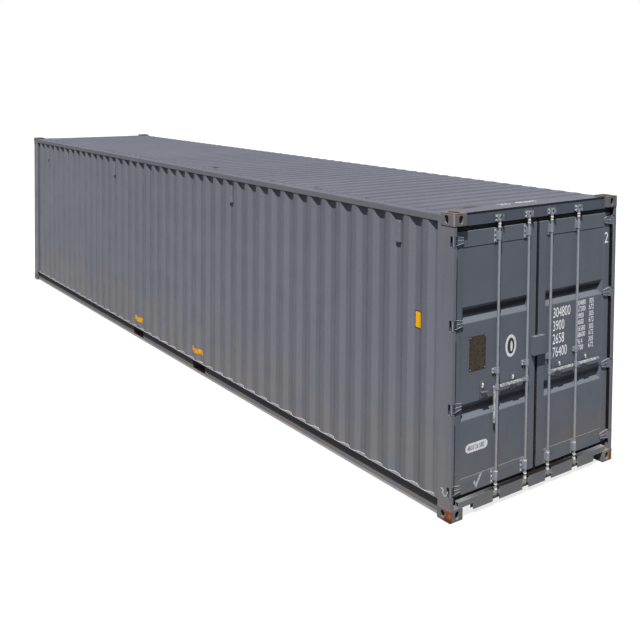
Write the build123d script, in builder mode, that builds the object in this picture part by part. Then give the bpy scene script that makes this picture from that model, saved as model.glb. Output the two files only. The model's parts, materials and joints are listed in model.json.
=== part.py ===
from build123d import *

import os
from math import cos, radians, sin

# Forty foot high cube shipping container, in millimetres.
# X runs along the length with the door end at +X, Y across, Z up.
# The origin is in the middle of the footprint, at the underside of the bottom corner castings.
# A point near an end is given by its inset from the side face and its depth from the end face.

# Overall size
length = 12192
width = 2438
height = 2896

# Corner castings
casting_length = 178
casting_width = 162
casting_height = 118
casting_wall = 20
casting_inner_wall = 10
casting_plate = 28
casting_closed_plate = 10
casting_corner = 8
slot_length = 124
slot_width = 63.5
slot_from_end = 103.5
slot_from_side = 89.5
hand_hole_height = 79
hand_hole_width = 51

# Hair gap between a loose fitted piece and what carries it
seat = 0.3

# Posts, which stand back a little from the faces of the castings
frame_inset = 5
post_plate = 6
lip_width = 37
stop_width = 71
stop_gap = 6
post_return = 44
front_post_width = 108

# Side, front and roof sheets
sheet = 2
wall_inset = 10
side_wave_depth = 36
side_wave_pitch = 278
side_wave_crest = 72
side_wave_slope = 68
front_wave_depth = 45.6
front_wave_pitch = 250
front_wave_crest = 110
front_wave_slope = 18
roof_inset = 15
roof_wave_pitch = 209
roof_wave_base = 118
roof_wave_height = 18
roof_wave_taper = 35
roof_end_flat = 330
roof_side_flat = 75
corner_plate = 3
corner_plate_reach = 230

# Rails
top_rail = 60
top_rail_wall = 3
top_rail_drop = 30
front_rail_plate = 4
bottom_rail_height = 162
bottom_rail_top_flange = 48
bottom_rail_bottom_flange = 30
bottom_rail_plate = 4.5

# Base
base_clearance = 16
crossmember_height = 122
crossmember_flange = 45
crossmember_plate = 4
crossmember_pitch = 300
floor_thickness = 28
fork_centres = 2050
fork_width = 360
fork_strap = 200
fork_plate = 6
tunnel_width = 1029
tunnel_height = 108
tunnel_length = 3315
tunnel_plate = 4
tunnel_bow = 60

# Door opening
door_face_depth = 48
panel_setback = 3
header_height = 104
header_face_depth = 44
header_depth = 130
header_plate = 4
gutter_width = 28
gutter_depth = 20
header_lip = 24
sill_bottom = 50
sill_face_depth = 8
sill_plate = 6
sill_above_floor = 4
sill_notch_width = 149
sill_notch_top = 110

# Doors
door_thickness = 50
door_edge_inset = 57
door_centre_gap = 38
door_bottom_gap = 38
door_top_gap = 49
stile_width = 100
door_rail_height = 150
groove_height = 155
groove_depth = 36
groove_taper = 53
groove_margin = 10
seal_gap = 5
seal_setback = 12
seal_thickness = 34

# Hinges
pin_inset = 15
pin_depth = 15
pin_radius = 8
pin_clearance = 0.5
knuckle_radius = 13
knuckle_tangent = 67
hinge_height = 98
hinge_side_clearance = 2
hinge_from_bottom = 72
hinge_from_top = 78
hinge_count = 4
leaf_thickness = 12
leaf_reach = 165
leaf_corner = 26
leaf_relief = 5
notch_depth = 56
lug_height = 15

# Locking rods, their cams and bearings
rod_depth = 20
rod_radius = 13.6
outer_rod_share = 0.497
inner_rod_share = 0.867
cam_above_header = 46
cam_below_sill = 61
cam_height = 56
cam_radius = 15
cam_lobe = 28
cam_lobe_width = 18
cam_side_clearance = 10
cam_back_clearance = 5
keeper_height = 66
keeper_lug = 8
bearing_clearance = 0.8
bearing_wall = 4.6
bearing_height = 80
bearing_plate = 5
bearing_plate_height = 142
bearing_plate_outer = 66
bearing_plate_inner = 26
bearing_from_edge = 4
guide_height = 50

# Handles
hub_height = 56
hub_radius = 18
handle_pivot = 36
ear_radius = 16
ear_thickness = 5
handle_thickness = 11
handle_side_clearance = 0.6
handle_width = 26
handle_end_radius = 11
handle_end_gap = 37
handle_pin_radius = 6
handle_pin_clearance = 0.3
handle_pin_proud = 3
retainer_from_rod = 170
retainer_width = 84
retainer_height = 165
retainer_plate = 5
retainer_shelf = 8
retainer_front = 8

# Lock box and plate on the doors
lock_box_width = 75
lock_box_height = 190
lock_box_wall = 4
lock_box_front = 2
data_plate_width = 220
data_plate_height = 330
data_plate_inset = 270
data_plate_thickness = 3

# Levels on the doors, as shares of their height
lower_groove_share = 0.3122
handle_share = 0.382
guide_share = 0.444
lock_box_share = 0.5038
data_plate_share = 0.5297
upper_groove_share = 0.6814

# Vents in the recesses of the side walls, counted from either end
vent_recesses = (1, 13)
vent_width = 70
vent_height = 215
vent_depth = 26
vent_below_rail = 76
vent_corner = 8
vent_wall = 4

# Worked out from the sizes above
half_length = length / 2
half_width = width / 2
top_castings_z = height - casting_height
rail_top = height - top_rail_drop
rail_bottom = rail_top - top_rail
side_rail_top = base_clearance + bottom_rail_height
floor_bottom = base_clearance + crossmember_height
floor_top = floor_bottom + floor_thickness
fork_low = base_clearance + fork_plate
fork_high = floor_bottom - fork_plate
sill_top = floor_top + sill_above_floor
header_bottom = rail_top - header_height
header_lip_top = rail_top + header_lip
door_bottom = sill_top + door_bottom_gap
door_top = header_bottom - door_top_gap
door_height = door_top - door_bottom
door_back_depth = door_face_depth + door_thickness
panel_face_depth = door_face_depth + panel_setback
door_inner_edge = half_width - door_centre_gap / 2
lip_inset = frame_inset + lip_width
stop_inset = lip_inset + stop_width
wall_start = casting_length + post_return
rail_web_inset = frame_inset + bottom_rail_top_flange
rod_bore = rod_radius + bearing_clearance
left, right = -1, 1
door_end, front_end = 1, -1
side_names = {left: "left", right: "right"}
leaf_width = door_inner_edge - door_edge_inset
rod_insets = {"outer": door_edge_inset + outer_rod_share * leaf_width,
              "inner": door_edge_inset + inner_rod_share * leaf_width}
handle_length = (inner_rod_share - outer_rod_share) * leaf_width - handle_pivot - handle_end_gap
lower_cam_z = sill_top - cam_below_sill
upper_cam_z = header_bottom + cam_above_header
hinge_pitch = (door_height - hinge_from_bottom - hinge_from_top) / (hinge_count - 1)
hinge_heights = [door_bottom + hinge_from_bottom + hinge_pitch * step for step in range(hinge_count)]
lower_groove_z = door_bottom + lower_groove_share * door_height
upper_groove_z = door_bottom + upper_groove_share * door_height
handle_z = door_bottom + handle_share * door_height
guide_z = door_bottom + guide_share * door_height
lock_box_bottom = door_bottom + lock_box_share * door_height - lock_box_height / 2
data_plate_bottom = door_bottom + data_plate_share * door_height - data_plate_height / 2
vent_bottom = rail_bottom - vent_below_rail - vent_height


def end_x(depth, end=door_end):
    """X of a plane at this depth in from one end."""
    return end * (half_length - depth)


def side_y(side, inset):
    """Y of a plane at this inset from the left or right side face."""
    return side * (half_width - inset)


def save(piece, name):
    """Label one finished piece and write it."""
    piece.part.label = name
    export_step(piece.part, f"parts/{name}.step")
    print(name, len(piece.part.solids()), round(piece.part.volume))


def box_between(x, y, z, mode=Mode.ADD):
    """Box between two limits on each axis, given in either order."""
    spans = [sorted(limits) for limits in (x, y, z)]
    centre = tuple((low + high) / 2 for low, high in spans)
    with Locations(centre):
        Box(*(high - low for low, high in spans), mode=mode)


def plan_outline(side, corners, end=door_end, mode=Mode.ADD):
    """Closed outline in plan, from its (inset, depth) corners."""
    Polygon(*((end_x(depth, end), side_y(side, inset)) for inset, depth in corners), align=None, mode=mode)


def wave_feet(run, pitch, base):
    """Where the waves of a folded sheet start, with the flats at its two ends alike."""
    count = int((run - base) // pitch) + 1
    end_flat = (run - (count - 1) * pitch - base) / 2
    return [end_flat + pitch * step for step in range(count)]


def wave_outline(run, pitch, crest, slope, rise):
    """Closed outline of a folded sheet, which starts and ends low, as (run, height) points."""
    base = crest + 2 * slope
    chain = [(0, 0)]
    for foot in wave_feet(run, pitch, base):
        chain += [(foot, 0), (foot + slope, rise), (foot + slope + crest, rise), (foot + base, 0)]
    chain.append((run, 0))
    return chain + [(along, up - sheet) for along, up in reversed(chain)]


def recess_middle(index):
    """Depth from either end of the middle of one recess of a side wall."""
    base = side_wave_crest + 2 * side_wave_slope
    feet = wave_feet(length - 2 * wall_start, side_wave_pitch, base)
    return wall_start + (feet[index] + base + feet[index + 1]) / 2


def casting_set(name, base, slot_on_top):
    """Four hollow corner castings, each with a twistlock slot and two hand holes."""
    top = base + casting_height
    low, high = base + casting_closed_plate, top - casting_plate
    if not slot_on_top:
        low, high = base + casting_plate, top - casting_closed_plate
    slot_plane = Plane.XY.offset(top if slot_on_top else base)
    hole_z = base + casting_height / 2
    corners = [(end, side) for end in (front_end, door_end) for side in (left, right)]
    with BuildPart() as castings:
        for end, side in corners:
            x = (end_x(0, end), end_x(casting_length, end))
            box_between(x, (side_y(side, 0), side_y(side, casting_width)), (base, top))
        by_length = edges().filter_by(Axis.Z).group_by(Axis.X)
        by_width = (by_length[0] + by_length[-1]).group_by(Axis.Y)
        fillet(by_width[0] + by_width[-1], casting_corner)
        for end, side in corners:
            x = (end_x(casting_wall, end), end_x(casting_length - casting_inner_wall, end))
            y = (side_y(side, casting_wall), side_y(side, casting_width - casting_inner_wall))
            box_between(x, y, (low, high), Mode.SUBTRACT)
        with BuildSketch(slot_plane):
            with GridLocations(length - 2 * slot_from_end, width - 2 * slot_from_side, 2, 2):
                SlotOverall(slot_length, slot_width)
        extrude(amount=casting_plate, both=True, mode=Mode.SUBTRACT)
        for side in (left, right):
            with BuildSketch(Plane.XZ.offset(-side_y(side, 0))):
                with Locations((-end_x(slot_from_end), hole_z), (end_x(slot_from_end), hole_z)):
                    SlotOverall(hand_hole_height, hand_hole_width, rotation=90)
            extrude(amount=casting_wall, both=True, mode=Mode.SUBTRACT)
        for end in (front_end, door_end):
            with BuildSketch(Plane.YZ.offset(end_x(0, end))):
                with Locations((0, hole_z)):
                    with GridLocations(width - 2 * slot_from_side, 1, 2, 1):
                        SlotOverall(hand_hole_height, hand_hole_width, rotation=90)
            extrude(amount=casting_wall, both=True, mode=Mode.SUBTRACT)
    save(castings, name)


def door_posts():
    """Rear posts: folded sections with an outer lip and a door stop, notched for the hinges."""
    plate = post_plate
    stop_depth = door_back_depth + stop_gap
    outer = [(frame_inset, frame_inset), (lip_inset, frame_inset), (lip_inset, stop_depth),
             (stop_inset, stop_depth), (stop_inset, casting_length), (frame_inset, casting_length)]
    core = [(frame_inset + plate, frame_inset + plate), (lip_inset - plate, frame_inset + plate),
            (lip_inset - plate, stop_depth + plate), (stop_inset - plate, stop_depth + plate),
            (stop_inset - plate, casting_length - plate), (frame_inset + plate, casting_length - plate)]
    half = hinge_height / 2 + hinge_side_clearance
    with BuildPart() as posts:
        with BuildSketch(Plane.XY.offset(casting_height)):
            for side in (left, right):
                plan_outline(side, outer)
                plan_outline(side, core, mode=Mode.SUBTRACT)
        extrude(amount=top_castings_z - casting_height)
        with BuildSketch(Plane.XY.offset(side_rail_top)):
            for side in (left, right):
                post_return_outline(side, door_end)
        extrude(amount=rail_bottom - side_rail_top)
        for side in (left, right):
            notch_x = (end_x(0), end_x(notch_depth))
            notch_y = (side_y(side, 0), side_y(side, lip_inset))
            lug_x = (end_x(frame_inset + plate), end_x(notch_depth))
            lug_y = (side_y(side, frame_inset + plate), side_y(side, lip_inset - plate))
            for z in hinge_heights:
                box_between(notch_x, notch_y, (z - half, z + half), Mode.SUBTRACT)
                for way in (-1, 1):
                    box_between(lug_x, lug_y, (z + way * half, z + way * (half + lug_height)))
                with Locations((end_x(pin_depth), side_y(side, pin_inset), z)):
                    Cylinder(pin_radius, 2 * (half + lug_height))
    save(posts, "door_posts")


def post_return_outline(side, end):
    """Plan of the plate that carries a post's side face on to the wall sheet."""
    outer, inner = frame_inset, frame_inset + post_plate
    reach = wall_inset + side_wave_depth + sheet
    plan_outline(side, [
        (outer, casting_length), (inner, casting_length), (inner, wall_start - post_plate),
        (reach, wall_start - post_plate), (reach, wall_start), (outer, wall_start),
    ], end)


def front_posts():
    """Front posts: closed sections, each with a return that takes the side wall."""
    outer, inner = frame_inset, frame_inset + front_post_width
    plate = post_plate
    with BuildPart() as posts:
        with BuildSketch(Plane.XY.offset(casting_height)):
            for side in (left, right):
                plan_outline(side, [
                    (outer, outer), (inner, outer), (inner, casting_length), (outer, casting_length),
                ], front_end)
                plan_outline(side, [
                    (outer + plate, outer + plate), (inner - plate, outer + plate),
                    (inner - plate, casting_length - plate), (outer + plate, casting_length - plate),
                ], front_end, Mode.SUBTRACT)
        extrude(amount=top_castings_z - casting_height)
        with BuildSketch(Plane.XY.offset(side_rail_top)):
            for side in (left, right):
                post_return_outline(side, front_end)
        extrude(amount=rail_bottom - side_rail_top)
    save(posts, "front_posts")


def top_side_rails():
    """Square tubes between the top castings."""
    inner = top_rail - 2 * top_rail_wall
    with BuildPart() as rails:
        with BuildSketch(Plane.YZ):
            for side in (left, right):
                with Locations((side_y(side, frame_inset + top_rail / 2), rail_top - top_rail / 2)):
                    Rectangle(top_rail, top_rail)
                    Rectangle(inner, inner, mode=Mode.SUBTRACT)
        extrude(amount=end_x(casting_length), both=True)
    save(rails, "top_side_rails")


def bottom_side_rails():
    """Channels that open outwards, cut through at the fork pockets."""
    web = rail_web_inset
    plate = bottom_rail_plate
    low, high = base_clearance, side_rail_top
    profile = [
        (frame_inset, high), (web, high), (web, low), (web - bottom_rail_bottom_flange, low),
        (web - bottom_rail_bottom_flange, low + plate), (web - plate, low + plate),
        (web - plate, high - plate), (frame_inset, high - plate),
    ]
    with BuildPart() as rails:
        with BuildSketch(Plane.YZ):
            for side in (left, right):
                Polygon(*((side_y(side, inset), z) for inset, z in profile), align=None)
        extrude(amount=end_x(casting_length), both=True)
        with BuildSketch(Plane.XZ):
            with Locations((0, (fork_low + fork_high) / 2)):
                with GridLocations(fork_centres, 1, 2, 1):
                    Rectangle(fork_width, fork_high - fork_low)
        extrude(amount=half_width, both=True, mode=Mode.SUBTRACT)
    save(rails, "bottom_side_rails")


def side_walls():
    """Folded side sheets between the rails."""
    run = length - 2 * wall_start
    outline = wave_outline(run, side_wave_pitch, side_wave_crest, side_wave_slope, side_wave_depth)
    valley = wall_inset + side_wave_depth
    with BuildPart() as walls:
        with BuildSketch(Plane.XY.offset(side_rail_top)):
            for side in (left, right):
                plan_outline(side, [(valley - up, wall_start + along) for along, up in outline])
        extrude(amount=rail_bottom - side_rail_top)
    save(walls, "side_walls")


def front_wall():
    """Folded end sheet between the front posts, let in round the top castings."""
    edge = half_width - frame_inset - front_post_width
    outline = wave_outline(2 * edge, front_wave_pitch, front_wave_crest, front_wave_slope, front_wave_depth)
    valley = wall_inset + front_wave_depth
    with BuildPart() as wall:
        with BuildSketch(Plane.XY.offset(side_rail_top)):
            Polygon(*((end_x(valley - up, front_end), along - edge) for along, up in outline), align=None)
        extrude(amount=rail_bottom - side_rail_top)
        for side in (left, right):
            box_between((end_x(0, front_end), end_x(casting_length, front_end)),
                        (side_y(side, 0), side_y(side, casting_width)),
                        (top_castings_z, rail_bottom), Mode.SUBTRACT)
    save(wall, "front_wall")


def roof():
    """Roof sheet with closed cross waves, cut away round the castings."""
    start = header_face_depth + header_plate + gutter_width
    x = (end_x(start), end_x(frame_inset, front_end))
    y = (side_y(left, roof_inset), side_y(right, roof_inset))
    run = length - 2 * roof_end_flat
    count = int(run // roof_wave_pitch)
    wave_width = width - 2 * roof_inset - 2 * roof_side_flat
    with BuildPart() as cover:
        box_between(x, y, (rail_top, rail_top + sheet))
        for end in (front_end, door_end):
            for side in (left, right):
                box_between((end_x(0, end), end_x(casting_length, end)),
                            (side_y(side, 0), side_y(side, casting_width)),
                            (rail_top - sheet, rail_top + 2 * sheet), Mode.SUBTRACT)
        with BuildSketch(Plane.XY.offset(rail_top + sheet)):
            with GridLocations(roof_wave_pitch, 1, count, 1):
                Rectangle(roof_wave_base, wave_width)
        extrude(amount=roof_wave_height, taper=roof_wave_taper)
        with BuildSketch(Plane.XY.offset(rail_top)):
            with GridLocations(roof_wave_pitch, 1, count, 1):
                Rectangle(roof_wave_base - sheet, wave_width - sheet)
        extrude(amount=roof_wave_height, taper=roof_wave_taper, mode=Mode.SUBTRACT)
    save(cover, "roof")


def roof_corner_plates():
    """Plates that guard the roof round the top castings."""
    low = rail_top + sheet
    with BuildPart() as plates:
        for end in (front_end, door_end):
            start = header_face_depth + header_plate + gutter_width if end == door_end else frame_inset
            for side in (left, right):
                box_between((end_x(start, end), end_x(roof_end_flat, end)),
                            (side_y(side, roof_inset), side_y(side, casting_width + corner_plate_reach)),
                            (low, low + corner_plate))
                box_between((end_x(0, end), end_x(casting_length, end)),
                            (side_y(side, 0), side_y(side, casting_width)),
                            (rail_top, height), Mode.SUBTRACT)
    save(plates, "roof_corner_plates")


def front_top_rail():
    """Box rail across the front, between the top castings."""
    middle = (end_x(frame_inset + top_rail / 2, front_end), rail_top - top_rail / 2)
    inner = top_rail - 2 * front_rail_plate
    with BuildPart() as rail:
        with BuildSketch(Plane.XZ):
            with Locations(middle):
                Rectangle(top_rail, top_rail)
                Rectangle(inner, inner, mode=Mode.SUBTRACT)
        extrude(amount=side_y(right, casting_width), both=True)
    save(rail, "front_top_rail")


def front_bottom_rail():
    """Upper part of the front rail, which runs over the gooseneck tunnel."""
    outer, inner = end_x(frame_inset, front_end), end_x(frame_inset + top_rail, front_end)
    plate = post_plate
    low, high = base_clearance + tunnel_height, side_rail_top
    with BuildPart() as rail:
        with BuildSketch(Plane.XZ):
            Polygon((outer, low), (outer + plate, low), (outer + plate, high - plate), (inner, high - plate),
                    (inner, high), (outer, high), align=None)
        extrude(amount=side_y(right, frame_inset + front_post_width), both=True)
    save(rail, "front_bottom_rail")


def front_rail_skirts():
    """Lower parts of the front rail, one either side of the gooseneck tunnel."""
    outer, inner = end_x(frame_inset, front_end), end_x(frame_inset + top_rail, front_end)
    plate = post_plate
    low, high = base_clearance, base_clearance + tunnel_height
    with BuildPart() as skirts:
        with BuildSketch(Plane.XZ):
            Polygon((outer, low), (inner, low), (inner, low + plate), (outer + plate, low + plate),
                    (outer + plate, high), (outer, high), align=None)
        extrude(amount=side_y(right, casting_width), both=True)
        box_between((outer, inner), (-tunnel_width / 2, tunnel_width / 2), (low, high), Mode.SUBTRACT)
    save(skirts, "front_rail_skirts")


def door_header():
    """Folded beam over the doors, with an open gutter behind its front lip."""
    face, plate = header_face_depth, header_plate
    gutter_back = face + plate + gutter_width
    gutter_floor = rail_top - gutter_depth
    low = header_bottom
    outer = [(face, low), (header_depth, low), (header_depth, rail_top), (gutter_back, rail_top),
             (gutter_back, gutter_floor), (face + plate, gutter_floor), (face + plate, header_lip_top),
             (face, header_lip_top)]
    core = [(face + plate, low + plate), (header_depth - plate, low + plate),
            (header_depth - plate, gutter_floor - plate), (face + plate, gutter_floor - plate)]
    with BuildPart() as header:
        with BuildSketch(Plane.XZ):
            Polygon(*((end_x(depth), z) for depth, z in outer), align=None)
            Polygon(*((end_x(depth), z) for depth, z in core), align=None, mode=Mode.SUBTRACT)
        extrude(amount=side_y(right, stop_inset), both=True)
        for side in (left, right):
            box_between((end_x(0), end_x(casting_length)), (side_y(side, 0), side_y(side, casting_width)),
                        (top_castings_z, height), Mode.SUBTRACT)
    save(header, "door_header")


def sill_notches():
    """Cuts at both ends of the sill, round the castings and beside them."""
    for side in (left, right):
        notch_inner = casting_width + sill_notch_width
        box_between((end_x(0), end_x(header_depth)), (side_y(side, 0), side_y(side, casting_width)),
                    (0, casting_height), Mode.SUBTRACT)
        box_between((end_x(0), end_x(header_depth)), (side_y(side, casting_width), side_y(side, notch_inner)),
                    (0, sill_notch_top), Mode.SUBTRACT)


def door_sill():
    """Web and top plate of the sill under the doors."""
    web, plate = header_face_depth, sill_plate
    outline = [(web, sill_bottom), (web + plate, sill_bottom), (web + plate, sill_top - plate),
               (header_depth, sill_top - plate), (header_depth, sill_top), (web, sill_top)]
    with BuildPart() as sill:
        with BuildSketch(Plane.XZ):
            Polygon(*((end_x(depth), z) for depth, z in outline), align=None)
        extrude(amount=side_y(right, stop_inset), both=True)
        sill_notches()
    save(sill, "door_sill")


def sill_fronts():
    """Folded front plates of the sill, parted by the bays for the rod ends."""
    face, plate, web = sill_face_depth, sill_plate, header_face_depth
    reach = cam_lobe + cam_side_clearance + keeper_lug
    outline = [(face, sill_bottom), (face + plate, sill_bottom), (face + plate, sill_top - plate),
               (web, sill_top - plate), (web, sill_top), (face, sill_top)]
    with BuildPart() as fronts:
        with BuildSketch(Plane.XZ):
            Polygon(*((end_x(depth), z) for depth, z in outline), align=None)
        extrude(amount=side_y(right, stop_inset), both=True)
        sill_notches()
        for side in (left, right):
            for inset in rod_insets.values():
                bay = (side_y(side, inset - reach), side_y(side, inset + reach))
                box_between((end_x(0), end_x(web)), bay, (sill_bottom, sill_top), Mode.SUBTRACT)
    save(fronts, "sill_fronts")


def crossmembers():
    """Channels under the floor, short ones beside the gooseneck tunnel."""
    first = end_x(casting_length + crossmember_flange)
    run = length - 2 * casting_length - crossmember_flange
    tunnel_end = end_x(tunnel_length, front_end)
    outer_y = half_width - rail_web_inset
    tunnel_y = tunnel_width / 2 + tunnel_plate
    plate = crossmember_plate
    profile = [(0, 0), (crossmember_flange, 0), (crossmember_flange, plate), (plate, plate),
               (plate, crossmember_height - plate), (crossmember_flange, crossmember_height - plate),
               (crossmember_flange, crossmember_height), (0, crossmember_height)]
    with BuildPart() as members:
        for step in range(int(run // crossmember_pitch) + 1):
            x = first - step * crossmember_pitch
            from_fork = abs(abs(x + crossmember_flange / 2) - fork_centres / 2)
            if from_fork < fork_width / 2 + crossmember_flange:
                continue
            with BuildSketch(Plane.XZ):
                Polygon(*((x + along, base_clearance + up) for along, up in profile), align=None)
            extrude(amount=outer_y, both=True)
            if x < tunnel_end:
                box_between((x, x + crossmember_flange), (-tunnel_y, tunnel_y),
                            (base_clearance, floor_bottom), Mode.SUBTRACT)
    save(members, "crossmembers")


def fork_pockets():
    """Two sleeves across the base, open below between their end straps."""
    outer_y = half_width - rail_web_inset
    low = base_clearance
    inner, outer = fork_width / 2, fork_width / 2 + crossmember_plate
    with BuildPart() as pockets:
        for middle in (-fork_centres / 2, fork_centres / 2):
            with BuildSketch(Plane.XZ):
                Polygon((middle - outer, low), (middle - inner, low), (middle - inner, fork_high),
                        (middle + inner, fork_high), (middle + inner, low), (middle + outer, low),
                        (middle + outer, floor_bottom), (middle - outer, floor_bottom), align=None)
            extrude(amount=outer_y, both=True)
            for side in (left, right):
                box_between((middle - inner, middle + inner), (side * outer_y, side * (outer_y - fork_strap)),
                            (low, fork_low))
    save(pockets, "fork_pockets")


def gooseneck_tunnel():
    """Tunnel under the front of the floor: a top plate stiffened by bows, and two side plates."""
    x = (end_x(frame_inset + top_rail, front_end), end_x(tunnel_length, front_end))
    inner, outer = tunnel_width / 2, tunnel_width / 2 + tunnel_plate
    top = base_clearance + tunnel_height
    bows = int((tunnel_length - frame_inset - top_rail - tunnel_bow) // crossmember_pitch) + 1
    with BuildPart() as tunnel:
        box_between(x, (-outer, outer), (top, top + tunnel_plate))
        for step in range(bows):
            start = x[0] + step * crossmember_pitch
            box_between((start, start + tunnel_bow), (-outer, outer), (top + tunnel_plate, floor_bottom))
        for side in (left, right):
            box_between(x, (side * inner, side * outer), (base_clearance, top - seat))
    save(tunnel, "gooseneck_tunnel")


def floor():
    """Plywood floor from the front wall to the sill."""
    x = (end_x(wall_inset + front_wave_depth + sheet, front_end), end_x(header_depth))
    edge = half_width - rail_web_inset
    with BuildPart() as boards:
        box_between(x, (-edge, edge), (floor_bottom, floor_top))
        for end in (front_end, door_end):
            for side in (left, right):
                inner = stop_inset if end == door_end else frame_inset + front_post_width
                box_between((end_x(0, end), end_x(wall_start, end)), (side_y(side, 0), side_y(side, inner)),
                            (floor_bottom, floor_top), Mode.SUBTRACT)
    save(boards, "floor")


def cam_keepers():
    """Open keepers for the rod ends, four on the header and four in the sill."""
    inner = cam_lobe + cam_side_clearance
    outer = inner + keeper_lug
    back = header_face_depth
    front_of_back = rod_depth + cam_radius + cam_back_clearance
    with BuildPart() as keepers:
        for z in (lower_cam_z, upper_cam_z):
            for side in (left, right):
                for inset in rod_insets.values():
                    with BuildSketch(Plane.XY.offset(z - keeper_height / 2)):
                        plan_outline(side, [
                            (inset - outer, frame_inset), (inset - inner, frame_inset),
                            (inset - inner, front_of_back), (inset + inner, front_of_back),
                            (inset + inner, frame_inset), (inset + outer, frame_inset),
                            (inset + outer, back), (inset - outer, back),
                        ])
                    extrude(amount=keeper_height)
    save(keepers, "cam_keepers")


def side_vents():
    """Weather covers in four recesses of each side wall, open at the bottom."""
    back = wall_inset + side_wave_depth
    front = back - vent_depth
    inner = vent_width / 2 - vent_wall
    places = [(side, end, recess_middle(index)) for side in (left, right) for end in (front_end, door_end)
              for index in vent_recesses]
    with BuildPart() as covers:
        for side, end, middle in places:
            box_between((end_x(middle - vent_width / 2, end), end_x(middle + vent_width / 2, end)),
                        (side_y(side, back), side_y(side, front)), (vent_bottom, vent_bottom + vent_height))
        upright = edges().filter_by(Axis.Z).group_by(Axis.Y)
        fillet(upright[0] + upright[-1], vent_corner)
        for side, end, middle in places:
            box_between((end_x(middle - inner, end), end_x(middle + inner, end)),
                        (side_y(side, back), side_y(side, front + vent_wall)),
                        (vent_bottom, vent_bottom + vent_height - vent_wall), Mode.SUBTRACT)
    save(covers, "side_vents")


def door_spans(side):
    """Y limits of one door leaf, from its hinge edge to its closing edge."""
    return side_y(side, door_edge_inset), side_y(side, door_inner_edge)


def door_frame(side):
    """Rectangular frame of one door leaf."""
    edge, closing = door_spans(side)
    middle = ((edge + closing) / 2, (door_bottom + door_top) / 2)
    opening = (leaf_width - 2 * stile_width, door_height - 2 * door_rail_height)
    with BuildPart() as frame:
        with BuildSketch(Plane.YZ.offset(end_x(door_back_depth))):
            with Locations(middle):
                Rectangle(leaf_width, door_height)
                Rectangle(*opening, mode=Mode.SUBTRACT)
        extrude(amount=door_thickness)
    save(frame, f"{side_names[side]}_door_frame")


def door_panel(side):
    """Door sheet with two pressed grooves that are closed at their ends."""
    edge, closing = door_spans(side)
    middle = (edge + closing) / 2
    panel_width = leaf_width - 2 * stile_width
    panel_height = door_height - 2 * door_rail_height
    groove_width = panel_width - 2 * groove_margin
    with BuildPart() as panel:
        with BuildSketch(Plane.YZ.offset(end_x(panel_face_depth + sheet))):
            with Locations((middle, (door_bottom + door_top) / 2)):
                Rectangle(panel_width, panel_height)
        extrude(amount=sheet)
        with BuildSketch(Plane.YZ.offset(end_x(panel_face_depth + sheet))):
            with Locations((middle, lower_groove_z), (middle, upper_groove_z)):
                Rectangle(groove_width + sheet, groove_height + sheet)
        extrude(amount=-groove_depth, taper=groove_taper)
        with BuildSketch(Plane.YZ.offset(end_x(panel_face_depth))):
            with Locations((middle, lower_groove_z), (middle, upper_groove_z)):
                Rectangle(groove_width, groove_height)
        extrude(amount=-groove_depth, taper=groove_taper, mode=Mode.SUBTRACT)
    save(panel, f"{side_names[side]}_door_panel")


def door_seal(side):
    """Rubber seal all round one door leaf."""
    edge, closing = door_spans(side)
    outer_edge = side_y(side, lip_inset + seal_gap)
    outer_closing = side_y(side, half_width - seal_gap)
    z = (sill_top + seal_gap, header_bottom - seal_gap)
    x = (end_x(door_face_depth + seal_setback), end_x(door_face_depth + seal_setback + seal_thickness))
    with BuildPart() as seal:
        box_between(x, (outer_edge, outer_closing), z)
        box_between(x, (edge, closing), (door_bottom, door_top), Mode.SUBTRACT)
    save(seal, f"{side_names[side]}_door_seal")


def hinge_leaves(side):
    """Four cranked hinge leaves of one door."""
    knuckle = (pin_inset, pin_depth)
    tangent = (pin_inset + knuckle_radius * cos(radians(knuckle_tangent)),
               pin_depth - knuckle_radius * sin(radians(knuckle_tangent)))
    leaf_face = door_face_depth - leaf_thickness
    outline = [(pin_inset, pin_depth + knuckle_radius), (door_edge_inset, door_face_depth),
               (leaf_reach, door_face_depth), (leaf_reach, leaf_face),
               (door_edge_inset + leaf_relief, leaf_face), tangent]
    with BuildPart() as leaves:
        for z in hinge_heights:
            with BuildSketch(Plane.XY.offset(z - hinge_height / 2)):
                plan_outline(side, outline)
                with Locations((end_x(knuckle[1]), side_y(side, knuckle[0]))):
                    Circle(knuckle_radius)
                    Circle(pin_radius + pin_clearance, mode=Mode.SUBTRACT)
            extrude(amount=hinge_height)
        ends = edges().filter_by(Axis.X).group_by(Axis.Y)[-1 if side == left else 0]
        fillet(ends, leaf_corner)
    save(leaves, f"{side_names[side]}_hinge_leaves")


def saddle_outline(side, inset, seat_depth):
    """Plan of a bearing that wraps one rod and stands on the door."""
    outer = rod_bore + bearing_wall
    with Locations((end_x(rod_depth), side_y(side, inset))):
        Circle(outer)
    plan_outline(side, [(inset - outer, rod_depth), (inset + outer, rod_depth),
                        (inset + outer, seat_depth), (inset - outer, seat_depth)])
    with Locations((end_x(rod_depth), side_y(side, inset))):
        Circle(rod_bore, mode=Mode.SUBTRACT)


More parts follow.
